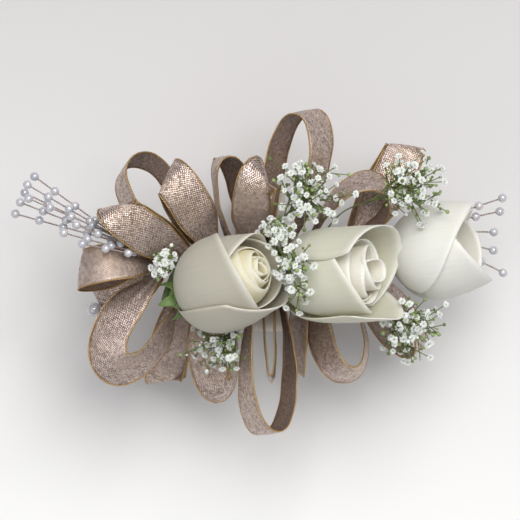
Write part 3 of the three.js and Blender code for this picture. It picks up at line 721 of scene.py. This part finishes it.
def studio_sky():
    """Soft light from above that falls off towards the horizon."""
    world = bpy.data.worlds.new("studio")
    bpy.context.scene.world = world
    world.use_nodes = True
    tree = world.node_tree
    height = axis_of(tree, node(tree, "ShaderNodeTexCoord", {})["Generated"], 2)
    stops = [(0.0, (0.14, 0.14, 0.145)), (0.4, (0.42, 0.42, 0.43)), (1.0, WHITE)]
    tree.links.new(ramp(tree, height, stops), tree.nodes["Background"].inputs[0])
    tree.nodes["Background"].inputs[1].default_value = SKY


studio_sky()


# Painted light towards the bottom of the frame and painted shade towards its top
def floor_material():
    made, tree = new_material("floor")
    share = scaled(tree, axis_of(tree, position(tree), 1), FLOOR_LIGHT_FADE, 0.5)
    colour = ramp(tree, share, [(0.1, (0.93, 0.93, 0.93)), (0.9, (0.625, 0.61, 0.615))])
    dress(tree, base_color=colour, roughness=0.9)
    return made


floor_build = Build()
floor_z = -WRIST_HEIGHT / 2 - BAND_THICKNESS - FLOOR_DROP
floor_build.grid([[Vector((x, y, floor_z)) for x in (-FLOOR, FLOOR)] for y in (-FLOOR, FLOOR)])
floor = floor_build.piece("floor", [floor_material()], body=None)


# Ribbon loops
LOOP_POINTS = 240


def teardrop(loop):
    x, heading, rise, roll, length, breadth, twist, cone, lift, bend = loop
    root = spine_axis(x) + UP * lift
    outward = toward(heading, rise)
    level = left_of(heading)
    bulge = turned(outward.cross(level), outward, -roll)
    across = turned(level, outward, -roll)
    line = []
    for i in range(LOOP_POINTS + 1):
        share = i / LOOP_POINTS
        turn = tau * share
        out = (1 - cos(turn)) / 2
        swell = sin(turn) * sin(turn / 2) * breadth / (2 * FULLEST)
        apart = LEG_GAP * cos(pi * share) * (1 - out)
        line.append(root + outward * (length * out) + bulge * (swell + apart) + UP * (bend * out * out))
    return line, across


def gathered_width(share, gather):
    return RIBBON_WIDTH * lerp(RIBBON_PINCH, 1, smoothstep(share, 0, gather))


RIBBON_STEPS = 84
RIBBON_ACROSS = 12
RIBBON_SHOWN = 0.3  # thickness
EDGE_RADIUS = 0.34
CUP = 0.5  # how far the middle of the ribbon stands proud of its edges
PLEATS = 3
PLEAT_DEPTH = 0.9
RIPPLE = 0.22
RIPPLE_ALONG, RIPPLE_ACROSS, RIPPLE_SWELL = 0.35, 2.2, 0.13  # how fast its waves come
EDGE_SIDES = 6
TAIL_POINTS = 40
TAIL_SEED = 99
PRONG_ROOM = PLATE_THICKNESS + 2 * CLEARANCE


def near_prong(x):
    return abs(abs(x) - (PLATE_LENGTH - PRONG_WIDTH) / 2) < PRONG_WIDTH


def ribbon(name, centres, directions, widths, total, seed, node):
    """A woven strip with gathered ends and a wound wire along both edges."""
    draw = random.Random(seed)
    phases = [draw.uniform(0, tau) for _ in range(4)]
    along = tangents(centres)
    rows = []
    for i, (centre, across, width) in enumerate(zip(centres, directions, widths)):
        if not clear_of_spine(centre, -PRONG_ROOM if near_prong(centre.x) else 0):
            continue
        run = total * i / (len(centres) - 1)
        lift = along[i].cross(across).normalized()
        full = (width / RIBBON_WIDTH - RIBBON_PINCH) / (1 - RIBBON_PINCH)
        row = []
        for k in range(RIBBON_ACROSS + 1):
            u = k / RIBBON_ACROSS
            side = 2 * u - 1
            pleat = PLEAT_DEPTH * (1 - full) * sin(tau * PLEATS * u + phases[0])
            swell = RIPPLE * sin(RIPPLE_SWELL * run + phases[2])
            ripple = swell * sin(RIPPLE_ALONG * run + RIPPLE_ACROSS * u + phases[1])
            proud = CUP * full * (1 - side * side) + pleat + ripple * full
            at = centre + across * (side * (width / 2 - EDGE_RADIUS)) + lift * proud
            row.append((at, (u * RIBBON_WIDTH * MM, run * MM)))
        rows.append(row)
    cloth = Build()
    cloth.grid(rows)
    neighbours.append(cloth)
    made = cloth.piece(name, [RIBBON_BACK_SHADED, RIBBON], slot="ribbon", replaced=[node])
    thicken(made, RIBBON_SHOWN).material_offset = 1
    edge = Build()
    for k in (0, RIBBON_ACROSS):
        edge.tube([row[k][0] for row in rows], EDGE_RADIUS, EDGE_SIDES)
    wires = edge.piece(name + "_edges", [GOLD], slot="ribbon")


def ribbon_loops():
    for seed, (name, loop) in enumerate(LOOPS.items()):
        line, level = teardrop(loop)
        twist, cone = loop[6:8]
        centres, total = even(line, RIBBON_STEPS)
        directions, widths = [], []
        for i, t in enumerate(tangents(centres)):
            share = i / RIBBON_STEPS
            across = (level - t * t.dot(level)).normalized()
            opened = smoothstep(min(share, 1 - share), 0, LOOP_GATHER)
            directions.append(turned(across, t, twist * (1 - 2 * share) + cone * opened))
            widths.append(gathered_width(min(share, 1 - share), LOOP_GATHER))
        ribbon("loop_" + name, centres, directions, widths, total, seed, "ribbon_loop_" + name)


def ribbon_tail():
    x, heading, rise, roll, length, lift, sag = TAIL
    root = spine_axis(x) + UP * lift
    outward = toward(heading, rise)
    middle = root + outward * (length / 2) + UP * (sag / 2)
    line = arc(root, middle, root + outward * length - UP * (sag / 2), TAIL_POINTS)
    centres, total = even(line, RIBBON_STEPS // 2)
    directions, widths = [], []
    for i, t in enumerate(tangents(centres)):
        directions.append(turned(left_of(heading), t, roll))
        widths.append(gathered_width(2 * i / RIBBON_STEPS, TAIL_GATHER))
    ribbon("tail", centres, directions, widths, total, TAIL_SEED, "ribbon_tail")


neighbours = []  # ribbons, petals and sprigs that the baby's breath keeps clear of
ribbon_loops()
ribbon_tail()


# Roses
def rose_frame(rose):
    axis = toward(rose["heading"], rose["rise"])
    front = (UP - axis * axis.dot(UP)).normalized()
    return standing(above_spine(rose["base"]), front, axis.cross(front), axis)


def rose_outline(rose, share):
    """Radius and height of the rose's outline, with its direction."""
    r, h = rose["radius"], rose["height"]
    p = [
        Vector((PETAL_BASE_RADIUS, 0)),
        Vector((r * rose["belly"], 0)),
        Vector((r * OUTLINE_SHOULDER[0], h * OUTLINE_SHOULDER[1])),
        Vector((r * (1 + rose["flare"]), h)),
    ]
    t = share
    s = 1 - t
    at = p[0] * s ** 3 + p[1] * (3 * s * s * t) + p[2] * (3 * s * t * t) + p[3] * t ** 3
    way = (p[1] - p[0]) * (3 * s * s) + (p[2] - p[1]) * (6 * s * t) + (p[3] - p[2]) * (3 * t * t)
    return at, way.normalized()


PETAL_ROWS = 22
PETAL_COLUMNS = 26
PETAL_SHOWN = 0.45  # thickness, as the two below
HEART_SHOWN = 0.4
SEPAL_SHOWN = 0.5
ANY_TURN = 6.28
RIM_START = 0.88
RIM_ROLL = 0.5
RIM_WAVE = {"rose_left": 0.35, "rose_middle": 0.7, "rose_right": 0.4}
RIM_WAVES = 5.5
RIM_POWER = 4  # how closely the waves keep to the rim
DIMPLE = 0.35
DIMPLES_ACROSS, DIMPLES_ASLANT, DIMPLES_UP = 3.2, 2, 6.5  # how fast they come
SWELL = {"rose_middle": 2.2}  # how far a rose's petals swell past its outline
SWELL_FACING = radians(-40)
SWELL_SPREAD = 0.75
SWELL_END = 0.7  # share of the height at which the swell has died away


def petal_rows(place, local):
    """Points of a petal, whose flat coordinates are its side and the share of its height."""
    rows = []
    for j in range(PETAL_ROWS + 1):
        row = []
        for i in range(PETAL_COLUMNS + 1):
            side, height = 2 * i / PETAL_COLUMNS - 1, j / PETAL_ROWS
            radius, turn, z = place(side, height)
            at = local @ Vector((radius * cos(turn), radius * sin(turn), z))
            row.append((at, (side, height)))
        rows.append(row)
    return rows


def outer_petal(name, layer, seed):
    """Where the points of one outer petal lie."""
    rose = ROSES[name]
    angle, half, reach, curl, slant, skew = rose["petals"][layer]
    draw = random.Random(seed)
    phase, drift, lean = (draw.uniform(0, ANY_TURN) for _ in range(3))

    def place(side, height):
        folds = sin(DIMPLES_ACROSS * side + DIMPLES_ASLANT * height + drift)
        dimple = DIMPLE * height * folds * sin(DIMPLES_UP * height + lean)
        share = height * reach * (1 + slant * side - PETAL_ROUNDING * side * side)
        rolled = max(0, share - PETAL_CURL_START) / (1 - PETAL_CURL_START)
        wave = RIM_WAVE[name] * sin(RIM_WAVES * side + phase) * height ** RIM_POWER
        edge = RIM_ROLL * max(0, height - RIM_START) / (1 - RIM_START)
        shown = layer * PETAL_PITCH + PETAL_THICKNESS / 2
        outward = shown + curl * rolled ** 2 + wave + edge + dimple
        at, way = rose_outline(rose, share)
        belly = sin(pi * min(share, PETAL_SHOULDER) / (2 * PETAL_WIDEST))
        turn = radians(angle + skew * share + side * half * lerp(PETAL_FOOT, 1, belly))
        near = max(0, cos(SWELL_SPREAD * (turn - SWELL_FACING)))
        grown = sin(pi * min(1, share / SWELL_END)) * near
        radius = at.x + way.y * outward + SWELL.get(name, 0) * grown
        return radius, turn, at.y - way.x * outward

    return place


# Inner petals: how many, the innermost one's width, the waves of their rims, their first and last
# heights, and how far they bow over the middle
HEART_SHAPES = {
    "rose_left": (7, 0.3, 0.35, 0.9, 0.965, 0.5),
    "rose_middle": (5, 0.4, 2.6, 0.9, 1.04, 0.12),
    "rose_right": (5, 0.35, 0.5, 0.88, 0.95, 0.5),
}
HEART_SEED = 300
HEART_FIRST = 40
HEART_TURN = 131  # degrees from one inner petal to the next
HEART_WIDTH = 0.97  # of the outermost one
HEART_HALF = (118, 150)  # degrees that the outermost and the innermost reach to each side
HEART_CALM = 0.4  # how much of the bow and the waves the innermost has
HEART_TILT = 0.05
HEART_ROUNDING = 0.1
HEART_WAVES = 4.5
HEART_BOW = 0.68  # share of the height at which the bow starts
HEART_NECK, HEART_FULL = 0.6, 0.9  # shares between which it leaves the rose's outline


def inner_petal(name, k):
    """Where the points of one petal of the heart lie: it bows over, inside the one before."""
    rose = ROSES[name]
    count, core, ruffle, first, last, bowed = HEART_SHAPES[name]
    draw = random.Random(HEART_SEED + k)
    inner = k / (count - 1)
    scale = rose["heart"] * lerp(HEART_WIDTH, core, inner)
    half, rim = lerp(*HEART_HALF, inner), lerp(first, last, inner)
    lean = lerp(bowed, HEART_CALM * bowed, inner)
    ruffle *= lerp(1, HEART_CALM, inner)
    tilt, phase = draw.uniform(-HEART_TILT, HEART_TILT), draw.uniform(0, ANY_TURN)

    def place(side, height):
        share = height * (rim + tilt * side - HEART_ROUNDING * side * side)
        at, way = rose_outline(rose, rose["crown"] * min(share, HEART_FULL))
        over = max(0, share - HEART_BOW) / (1 - HEART_BOW)
        wave = ruffle * sin(HEART_WAVES * side + phase) * height ** RIM_POWER
        radius = (at.x - way.y * PETAL_GAP) * scale * (1 - lean * over ** 2) + wave
        top = rose["height"] * rose["crown"] * share
        z = lerp(at.y + way.x * PETAL_GAP, top, smoothstep(share, HEART_NECK, HEART_FULL))
        return radius, radians(HEART_FIRST + HEART_TURN * k + side * half), z

    return place


def petal_piece(node, ending, places, look, slot, thickness, local):
    build = Build()
    for place in places:
        build.grid(petal_rows(place, local))
    neighbours.append(build)
    thicken(build.piece(node + ending, [look], slot=slot, replaced=[node]), thickness)


def calyx_top(rose):
    return -len(rose["petals"]) * PETAL_PITCH - CLEARANCE


CUP_BULGE = ((0.7, 0.2), (1.02, 0.5), (1.05, 0.7))  # shares of the hip's radius and height
CUP_SIDES = 20
SEPAL_STEPS, SEPAL_HALF = 12, 3
SEPAL_START, SEPAL_SINK = 0.6, 0.8  # where its foot is, as a share of the hip, and how deep
SEPAL_BEND = ((0.5, 0), (0.05, 0.7))  # out and down, as shares of its length
SEPAL_TIP, SEPAL_FOOT = 0.12, 0.22
SEPAL_KEEL = 0.35


def rose_calyx(name, rose, local):
    top = calyx_top(rose)
    foot = top - HIP_HEIGHT
    build = Build()
    core, seat = PETAL_BASE_RADIUS - 2 * CLEARANCE, PETAL_GAP - 2 * CLEARANCE
    cup = [(0.01, foot), (ROSE_STEM_RADIUS, foot)]
    cup += [(wide * HIP_RADIUS, foot + up * HIP_HEIGHT) for wide, up in CUP_BULGE]
    cup += [(HIP_RADIUS, top), (core, top), (core, seat), (0.01, seat)]
    build.turn(cup, CUP_SIDES, local)
    for k in range(SEPALS):
        turn = 360 * k / SEPALS
        outward, across = toward(turn, 0), left_of(turn)
        bends = [outward * (HIP_RADIUS * SEPAL_START) + UP * (top - SEPAL_SINK)]
        for out, down in SEPAL_BEND:
            bends.append(bends[-1] + outward * (SEPAL_LENGTH * out) - UP * (SEPAL_LENGTH * down))
        keel = (outward + UP) * SEPAL_KEEL
        rows = []
        for i, centre in enumerate(arc(*bends, SEPAL_STEPS)):
            belly = sin(pi * lerp(SEPAL_FOOT, 1, i / SEPAL_STEPS))
            width = SEPAL_WIDTH * lerp(SEPAL_TIP, 1, belly)
            row = []
            for c in range(2 * SEPAL_HALF + 1):
                side = c / SEPAL_HALF - 1
                row.append(local @ (centre + across * (side * width / 2) + keel * (side * side)))
            rows.append(row)
        build.grid(rows)
    made = build.piece(name + "_sepals", [LEAF], slot="sepal", replaced=[name + "_calyx"])
    thicken(made, SEPAL_SHOWN)


def rose_stem(name, rose, local):
    bottom = calyx_top(rose) - HIP_HEIGHT - CLEARANCE
    start = local @ Vector((0, 0, bottom))
    lead = local @ Vector((0, 0, bottom - 2 * ROSE_STEM_RADIUS))
    line = catmull([start, lead, above_spine(rose["via"]), spine_axis(rose["seat"])], 24)
    build = Build()
    build.tube(shown_line(line, 90), ROSE_STEM_RADIUS, 14, wrap=STEM_WRAP)
    build.piece(name + "_taped_stem", [TAPE], slot="floral_tape", replaced=[name + "_stem"])


def roses():
    for order, (name, rose) in enumerate(ROSES.items()):
        local = rose_frame(rose)
        heart = [inner_petal(name, k) for k in range(HEART_SHAPES[name][0])]
        look = HEARTS[name]
        petal_piece(name + "_heart", "_petals", heart, look, "rose_heart", HEART_SHOWN, local)
        for layer in range(len(rose["petals"])):
            petal = [outer_petal(name, layer, 10 * order + layer)]
            node = f"{name}_petal_{layer + 1}"
            petal_piece(node, "_shown", petal, PETALS[name], "petal", PETAL_SHOWN, local)
        rose_calyx(name, rose, local)
        rose_stem(name, rose, local)


roses()


# Baby's breath
def cone_directions(axis, spread, count):
    side = axis.cross(UP).normalized()
    found = []
    for k in range(count):
        lean = spread * sqrt((k + 0.5) / count)
        found.append(turned(turned(axis, side, lean), axis, k * GOLDEN_ANGLE))
    return found


FLORET_PETALS = 6
FLORET_RINGS = ((1.0, 0.15), (0.72, 0.42), (0.42, 0.62))  # width and rise as shares of its size
# A notched petal: out, across and up, as shares of its reach and rise, and the faces between them
NOTCHED = (
    (0, 0, 0), (0.55, 0.36, 0.5), (0.62, 0, 0.3), (0.55, -0.36, 0.5),
    (1, 0.24, 1), (0.88, 0, 0.85), (1, -0.24, 1),
)
NOTCHED_FACES = [(0, 2, 1), (0, 3, 2), (1, 2, 5, 4), (2, 3, 6, 5)]
FLORET_SPREAD = (0.85, 1.1)
EYE_RISE, EYE_SIZE = 0.2, 0.16
CALYX_DROP, CALYX_SIZE = 0.24, 0.34
BUD_PROFILE = ((-1, 0.15), (-0.5, 0.85), (0.2, 1.0), (0.8, 0.6), (1.15, 0.1))
BUD_SIDES = 6
GREEN, PALE, EYE_GREEN = 0, 1, 2  # looks of a sprig


def floret(build, at, facing, size, draw):
    """Three rings of notched petals, each smaller and steeper, round a pale green eye."""
    facing = facing.normalized()
    side, other = sides_of(at, facing)
    spin = draw.uniform(0, ANY_TURN)
    for ring, (grow, lift) in enumerate(FLORET_RINGS):
        for k in range(FLORET_PETALS):
            out = spoke(side, other, spin + tau * (k + 0.5 * ring) / FLORET_PETALS)
            wide = facing.cross(out)
            reach = size * grow * draw.uniform(*FLORET_SPREAD)
            rise = facing * (size * lift)
            points = [at + out * reach * o + wide * reach * w + rise * r for o, w, r in NOTCHED]
            build.add(points, NOTCHED_FACES, PALE)
    bud(build, at + facing * size * EYE_RISE, facing, size * EYE_SIZE, EYE_GREEN)
    bud(build, at - facing * size * CALYX_DROP, facing, size * CALYX_SIZE, GREEN)


def bud(build, at, facing, size, look):
    side, other = sides_of(at, facing)
    ring = [spoke(side, other, tau * k / BUD_SIDES) for k in range(BUD_SIDES)]
    rows = [[at + facing * (z * size) + out * (r * size) for out in ring] for z, r in BUD_PROFILE]
    build.grid(rows, look, closed=True)


SPRIG_SEED = 500
SPRIG_FORKS = 10  # fine stalks on each branch, less those that would grow into something
FORK_SPREAD = 75
FORK_PLACE = (0.2, 0.95)
FORK_RISE = 0.2
BRANCH_FOOT = 0.25
BRANCH_SAG = 0.8
BRANCH_PARTS = (1, 0.85, 0.7, 0.55, 0.4)
TIP_RISE, TIP_SIZE = 0.5, (1.6, 2.1)
STALK_RADIUS = 0.2
STALK_ROOM = 0.9
STALK_TRIES = 4
STALK_REACH = (0.4, 0.9)
STALK_BOW = (-0.3, 0.5)
FLORET_ROOM = 2.6
FLORET_SHARE = 0.5
FLORET_RISE, FLORET_SIZE = 0.7, (1.2, 1.9)
BUD_SIZE = (0.6, 0.95)
BESIDE_SHARE = 0.85
BESIDE_LEAN, BESIDE_REACH, BESIDE_SIZE = 0.9, (1.6, 2.8), (0.45, 0.75)
BESIDE_RADIUS = 0.8 * STALK_RADIUS


def surroundings():
    points, faces = [], []
    for build in neighbours:
        start = len(points)
        points += build.points
        faces += [[start + k for k in face] for face in build.faces]
    return BVHTree.FromPolygons(points, faces)


def has_room(fork, end):
    """Whether a stalk and the floret at its end stay clear of the neighbours."""
    for k in range(STALK_TRIES):
        if AROUND.find_nearest(fork.lerp(end, (k + 1) / STALK_TRIES), STALK_ROOM)[0]:
            return False
    return AROUND.find_nearest(end, FLORET_ROOM)[0] is None


def branch_end(start, tip):
    """The tip of a branch, drawn back where something is in its way; None without any room."""
    for part in BRANCH_PARTS:
        end = start.lerp(tip, part)
        if has_room(start.lerp(end, 0.5), end):
            return end
    return None


def stalk(build, fork, way, reach, draw):
    """A fine stalk that ends in a floret or a bud, with a smaller bud beside it."""
    end = fork + way * (reach * draw.uniform(*STALK_REACH))
    middle = fork.lerp(end, 0.5) + UP * draw.uniform(*STALK_BOW)
    if not has_room(fork, end):
        return
    build.tube([fork, middle, end], STALK_RADIUS, 4, GREEN)
    if draw.random() < FLORET_SHARE:
        facing = (way + UP * FLORET_RISE).normalized()
        floret(build, end, facing, draw.uniform(*FLORET_SIZE), draw)
    else:
        looks = (GREEN, PALE, EYE_GREEN, EYE_GREEN)
        bud(build, end, way, draw.uniform(*BUD_SIZE), draw.choice(looks))
    if draw.random() < BESIDE_SHARE:
        beside = (way + left_of(draw.uniform(0, 360)) * BESIDE_LEAN).normalized()
        tip = middle + beside * draw.uniform(*BESIDE_REACH)
        if not has_room(middle, tip):
            return
        build.tube([middle, middle.lerp(tip, 0.5), tip], BESIDE_RADIUS, 4, GREEN)
        looks = (GREEN, GREEN, PALE, EYE_GREEN)
        bud(build, tip, beside, draw.uniform(*BESIDE_SIZE), draw.choice(looks))


def sprig(name, values, seed):
    x, via, crown, heading, rise, spread, reach, florets = values
    draw = random.Random(seed)
    top = above_spine(crown)
    twig = catmull([spine_axis(x), above_spine(via), top], 14)
    points = shown_line(twig, 60)
    build = Build()
    radii = [lerp(BRANCH_RADIUS, STALK_RADIUS, k / len(points)) for k in range(len(points))]
    build.tube(points, radii, 7, GREEN)
    for k, out in enumerate(cone_directions(toward(heading, rise), spread, florets)):
        start = part_way(twig, lerp(FIRST_BRANCH, LAST_START, k / (florets - 1)))
        tip = branch_end(start, top + out * (reach * (SHORT_BRANCH if k % 2 else 1)))
        if tip is None:
            continue
        side = line_side([start, tip])
        sag = side * draw.uniform(-BRANCH_SAG, BRANCH_SAG) - UP * draw.uniform(0, BRANCH_SAG)
        line = catmull([start, start.lerp(tip, 0.5) + sag, tip], 5)
        radii = [lerp(BRANCH_FOOT, STALK_RADIUS, i / 10) for i in range(11)]
        build.tube(line, radii, 5, GREEN)
        way = (tip - start).normalized()
        floret(build, tip, way + UP * TIP_RISE, draw.uniform(*TIP_SIZE), draw)
        for fork in cone_directions(way, FORK_SPREAD, SPRIG_FORKS):
            at = start.lerp(tip, draw.uniform(*FORK_PLACE))
            stalk(build, at, (fork + UP * FORK_RISE).normalized(), reach, draw)
    node = "babys_breath_" + name
    build.piece(node + "_sprig", [TWIG, BLOSSOM, EYE], slot="babys_breath", replaced=[node])
    neighbours.append(build)


for sprig_seed, (sprig_name, sprig_values) in enumerate(SPRIGS.items()):
    AROUND = surroundings()
    sprig(sprig_name, sprig_values, SPRIG_SEED + sprig_seed)


# Pearl sprays and the pin
WIRE, BOUND = 1, 2  # looks of a spray, after its pearls
BEAD_HOLE = 0.42
BEAD_ROWS = 14
GLUE = ((0.6, 0.35), (1, 0.1))  # its drop: shares of the hole's radius, and how deep it sits
STRAND_RADIUS = 0.2
STRAND_FIT = 0.95
WIRE_LAY = 2.2
WIRE_DETAIL = 7  # steps for each turn


def bead(build, at, along, radius, hole, sides=20):
    """A drilled pearl with a drop of glue where the wire goes through."""
    first = asin(hole / radius)
    inner = radius * cos(first)
    profile = [(hole * share, -inner + deep) for share, deep in GLUE]
    for k in range(BEAD_ROWS + 1):
        a = lerp(first, pi - first, k / BEAD_ROWS)
        profile.append((radius * sin(a), -radius * cos(a)))
    profile += [(hole * share, inner - deep) for share, deep in reversed(GLUE)]
    build.turn(profile, sides, standing(at, *sides_of(at, along), along))


def twisted_wire(build, line):
    """Two strands wound round each other along a line."""
    _, length = even(line, 2)
    centres, _ = even(line, max(8, round(length / WIRE_LAY * WIRE_DETAIL)))
    steps = len(centres) - 1
    strands = [[], []]
    for i, (p, side, other) in enumerate(carried(centres)):
        for k, strand in enumerate(strands):
            a = pi * k + tau * (length / WIRE_LAY) * i / steps
            strand.append(p + spoke(side, other, a) * STRAND_RADIUS)
    for strand in strands:
        build.tube(strand, STRAND_RADIUS * STRAND_FIT, 5, WIRE)


# Wires that pass over the ribbons: the way over, then heading, rise and length from there, and beads
UPPER_START = (-38.5, 0.5, SPINE_RADIUS - 0.3)
UPPER_WIRES = {
    "pearl_spray_left": [
        ((-45, 2.6, 18.5), 158, 24, 33, 3),
        ((-45, 1.9, 19), 165, 18, 36, 4),
        ((-45, 1.4, 20), 169, 26, 29, 3),
    ],
}


def pearl_spray(name, values):
    x, stem, fan, wires = values
    top = above_spine(fan)
    bound = catmull([spine_axis(x), above_spine(stem), top], 24)
    build = Build()
    build.tube(shown_line(bound, 80), SPRAY_STEM_RADIUS, 12, BOUND, wrap=SPRAY_WRAP)
    for i, (heading, rise, length, beads) in enumerate(wires):
        tip = top + toward(heading, rise) * length
        start = part_way(bound, lerp(FIRST_WIRE, LAST_START, i / (len(wires) - 1)))
        out = (tip - start).normalized()
        twisted_wire(build, [start, tip])
        for k in range(beads):
            bead(build, tip - out * (k * BEAD_SPACING), out, BEAD_RADIUS, BEAD_HOLE)
    for over, heading, rise, length, beads in UPPER_WIRES.get(name, []):
        bend = above_spine(over)
        tip = bend + toward(heading, rise) * length
        line = catmull([above_spine(UPPER_START), bend, tip], 16)
        twisted_wire(build, line)
        spaced, run = even(line, 100)
        for k in range(beads):
            at = round(100 * (1 - k * BEAD_SPACING / run))
            bead(build, spaced[at], tangents(spaced)[at], BEAD_RADIUS, BEAD_HOLE)
    build.piece(name + "_beads", [PEARL, SPRAY_WIRE, TAPE], slot="pearl", replaced=[name])


for spray_name, spray_values in SPRAYS.items():
    pearl_spray(spray_name, spray_values)


PIN_HOLE = 0.6
PIN_STEPS = 40
PIN_POINT, PIN_TAPER = 0.12, 6  # share of the radius at its tip, and the steps it tapers over
PIN_GLUED = 1.5  # how far it goes into the pearl


def pin():
    """A pearl-headed pin along the loop that it holds."""
    x, heading, rise, *_, lift, _ = LOOPS["left_pinned"]
    pin_out = toward(heading, rise)
    pin_tip = spine_axis(x) + UP * lift - pin_out * PIN_REACH
    head = Build()
    middle = pin_tip + pin_out * (PIN_LENGTH + PIN_HEAD_RADIUS)
    bead(head, middle, pin_out, PIN_HEAD_RADIUS, PIN_HOLE, sides=32)
    head.piece("pin_pearl", [PEARL], body="pin", slot="pearl", replaced=["pin_head"])
    shaft = Build()
    line = [pin_tip + pin_out * (PIN_LENGTH * k / PIN_STEPS) for k in range(PIN_STEPS + 1)]
    line.append(pin_tip + pin_out * (PIN_LENGTH + PIN_GLUED))
    radii = [PIN_RADIUS * min(1, lerp(PIN_POINT, 1, k / PIN_TAPER)) for k in range(len(line))]
    shaft.tube(line, radii, 12)
    shaft.piece("pin_needle", [STEEL], body="pin", slot="steel", replaced=["pin_shaft"])


pin()


# Spine, clip and wristband
SPINE_STEPS = 410
WIRES_ROUND = 6
WIRES_OUT = 0.25  # past the tape's ends
WIRE_RING, WIRE_SHARE = 0.66, 0.32  # of the core's radius
PLATE_CORNER = 2.0
PLATE_BEVEL = 0.2
PRONG_STEPS = 16
PRONG_TAPER, PRONG_TIP = 4, 0.45  # stations that narrow, and how much


def spine():
    build = Build()
    shares = [i / SPINE_STEPS for i in range(SPINE_STEPS + 1)]
    line = [spine_axis(lerp(SPINE_LEFT, SPINE_RIGHT, share)) for share in shares]
    build.tube(line, SPINE_RADIUS, 32, wrap=SPINE_WRAP)
    build.piece("spine_tape_wraps", [TAPE], slot="floral_tape", replaced=["spine_tape"])
    bundle = Build()
    start, end = spine_axis(SPINE_LEFT - WIRES_OUT), spine_axis(SPINE_RIGHT + WIRES_OUT)
    for k in range(WIRES_ROUND + 1):
        a = tau * k / WIRES_ROUND
        off = Vector((0, cos(a), sin(a))) * (SPINE_CORE_RADIUS * WIRE_RING if k else 0)
        line = [start + off, start.lerp(end, 0.5) + off, end + off]
        bundle.tube(line, SPINE_CORE_RADIUS * WIRE_SHARE, 10)
    bundle.piece("spine_wire_ends", [STEEL], slot="steel", replaced=["spine_wires"])


def rounded(half, low, high, corner, steps):
    """Outline of a rectangle with round corners."""
    found = []
    for k in range(4):
        across = half - corner if k in (0, 3) else corner - half
        up = high - corner if k < 2 else low + corner
        for i in range(steps + 1):
            a = radians(90 * (k + i / steps))
            found.append((across + corner * cos(a), up + corner * sin(a)))
    return found


def prong(build, end, side):
    bend = SPINE_RADIUS + CLEARANCE + PLATE_THICKNESS / 2
    x = end * (PLATE_LENGTH - PRONG_WIDTH) / 2
    stations = [(side * bend, PLATE_BOTTOM + PLATE_THICKNESS / 2, 0)]
    for i in range(PRONG_STEPS + 1):
        a = radians(PRONG_WRAP * i / PRONG_STEPS)
        stations.append((side * bend * cos(a), SPINE_Z + bend * sin(a), a))
    rows = []
    for i, (y, z, a) in enumerate(stations):
        out = Vector((0, side * cos(a), sin(a))) * (PLATE_THICKNESS / 2)
        left = max(0, i + 1 + PRONG_TAPER - len(stations)) / PRONG_TAPER
        half = PRONG_WIDTH / 2 * (1 - PRONG_TIP * left)
        wide, thin = Vector((half, 0, 0)), Vector((half - PLATE_BEVEL, 0, 0))
        edge = [thin + out, wide + out * 0.5, wide - out * 0.5, thin - out]
        at = Vector((x, y, z))
        rows.append([at + off for off in edge] + [at - off for off in edge])
    build.grid(rows, closed=True)
    build.cap(rows[-1])


def clip():
    """A plate with rounded corners and four prongs bent round the spine."""
    build = Build()
    rim = rounded(PLATE_LENGTH / 2, -PLATE_WIDTH / 2, PLATE_WIDTH / 2, PLATE_CORNER, 6)
    low, high = PLATE_BOTTOM, PLATE_BOTTOM + PLATE_THICKNESS
    levels = ((PLATE_BEVEL, low), (0, low + PLATE_BEVEL), (0, high - PLATE_BEVEL), (PLATE_BEVEL, high))
    rows = []
    for shrink, z in levels:
        row = []
        for x, y in rim:
            row.append(Vector((x - copysign(shrink, x), y - copysign(shrink, y), z)))
        rows.append(row)
    build.grid(rows, closed=True)
    build.cap(rows[0], start=True)
    build.cap(rows[-1])
    for end in (-1, 1):
        for side in (-1, 1):
            prong(build, end, side)
    build.piece("clip_shown", [STEEL], slot="steel", replaced=["stem_clip"], smooth=False)


BAND_STEPS = 240
BAND_COLUMNS = 32
RIBS = 8
RIB_HEIGHT = 0.12
BAND_EDGE = 0.25  # how much thinner its edges are


def wristband():
    """One loop of ribbed elastic."""
    half = WRIST_WIDTH / 2 + BAND_THICKNESS / 2
    top = BAND_TOP_INSIDE + BAND_THICKNESS / 2
    bottom = -WRIST_HEIGHT / 2 - BAND_THICKNESS / 2
    line = [Vector((0, y, z)) for y, z in rounded(half, bottom, top, BAND_CORNER, 16)]
    line.append(line[0].copy())
    centres, total = even(line, BAND_STEPS)
    centres = centres[:-1]
    count = len(centres)
    build = Build()
    rows = []
    for i, p in enumerate(centres):
        t = (centres[(i + 1) % count] - centres[i - 1]).normalized()
        out = Vector((0, t.z, -t.y))
        ring = []
        for face in (1, -1):
            for k in range(BAND_COLUMNS + 1):
                u = k / BAND_COLUMNS if face > 0 else 1 - k / BAND_COLUMNS
                thick = BAND_THICKNESS / 2 - RIB_HEIGHT + RIB_HEIGHT * cos(tau * RIBS * u)
                if k in (0, BAND_COLUMNS):
                    thick -= BAND_EDGE
                at = p + Vector(((u - 0.5) * BAND_WIDTH, 0, 0)) + out * (face * thick)
                ring.append((at, (u * BAND_WIDTH * MM, total * i / count * MM)))
        rows.append(ring)
    rows.append([(at, (u, total * MM)) for at, (u, _) in rows[0]])
    build.grid(rows, closed=True)
    nodes = ["band_upper", "band_lower", "band_side_front", "band_side_rear"]
    made = build.piece("wrist_elastic", [ELASTIC], body=None, slot="elastic", replaced=nodes)
    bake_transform(made)


spine()
clip()
wristband()
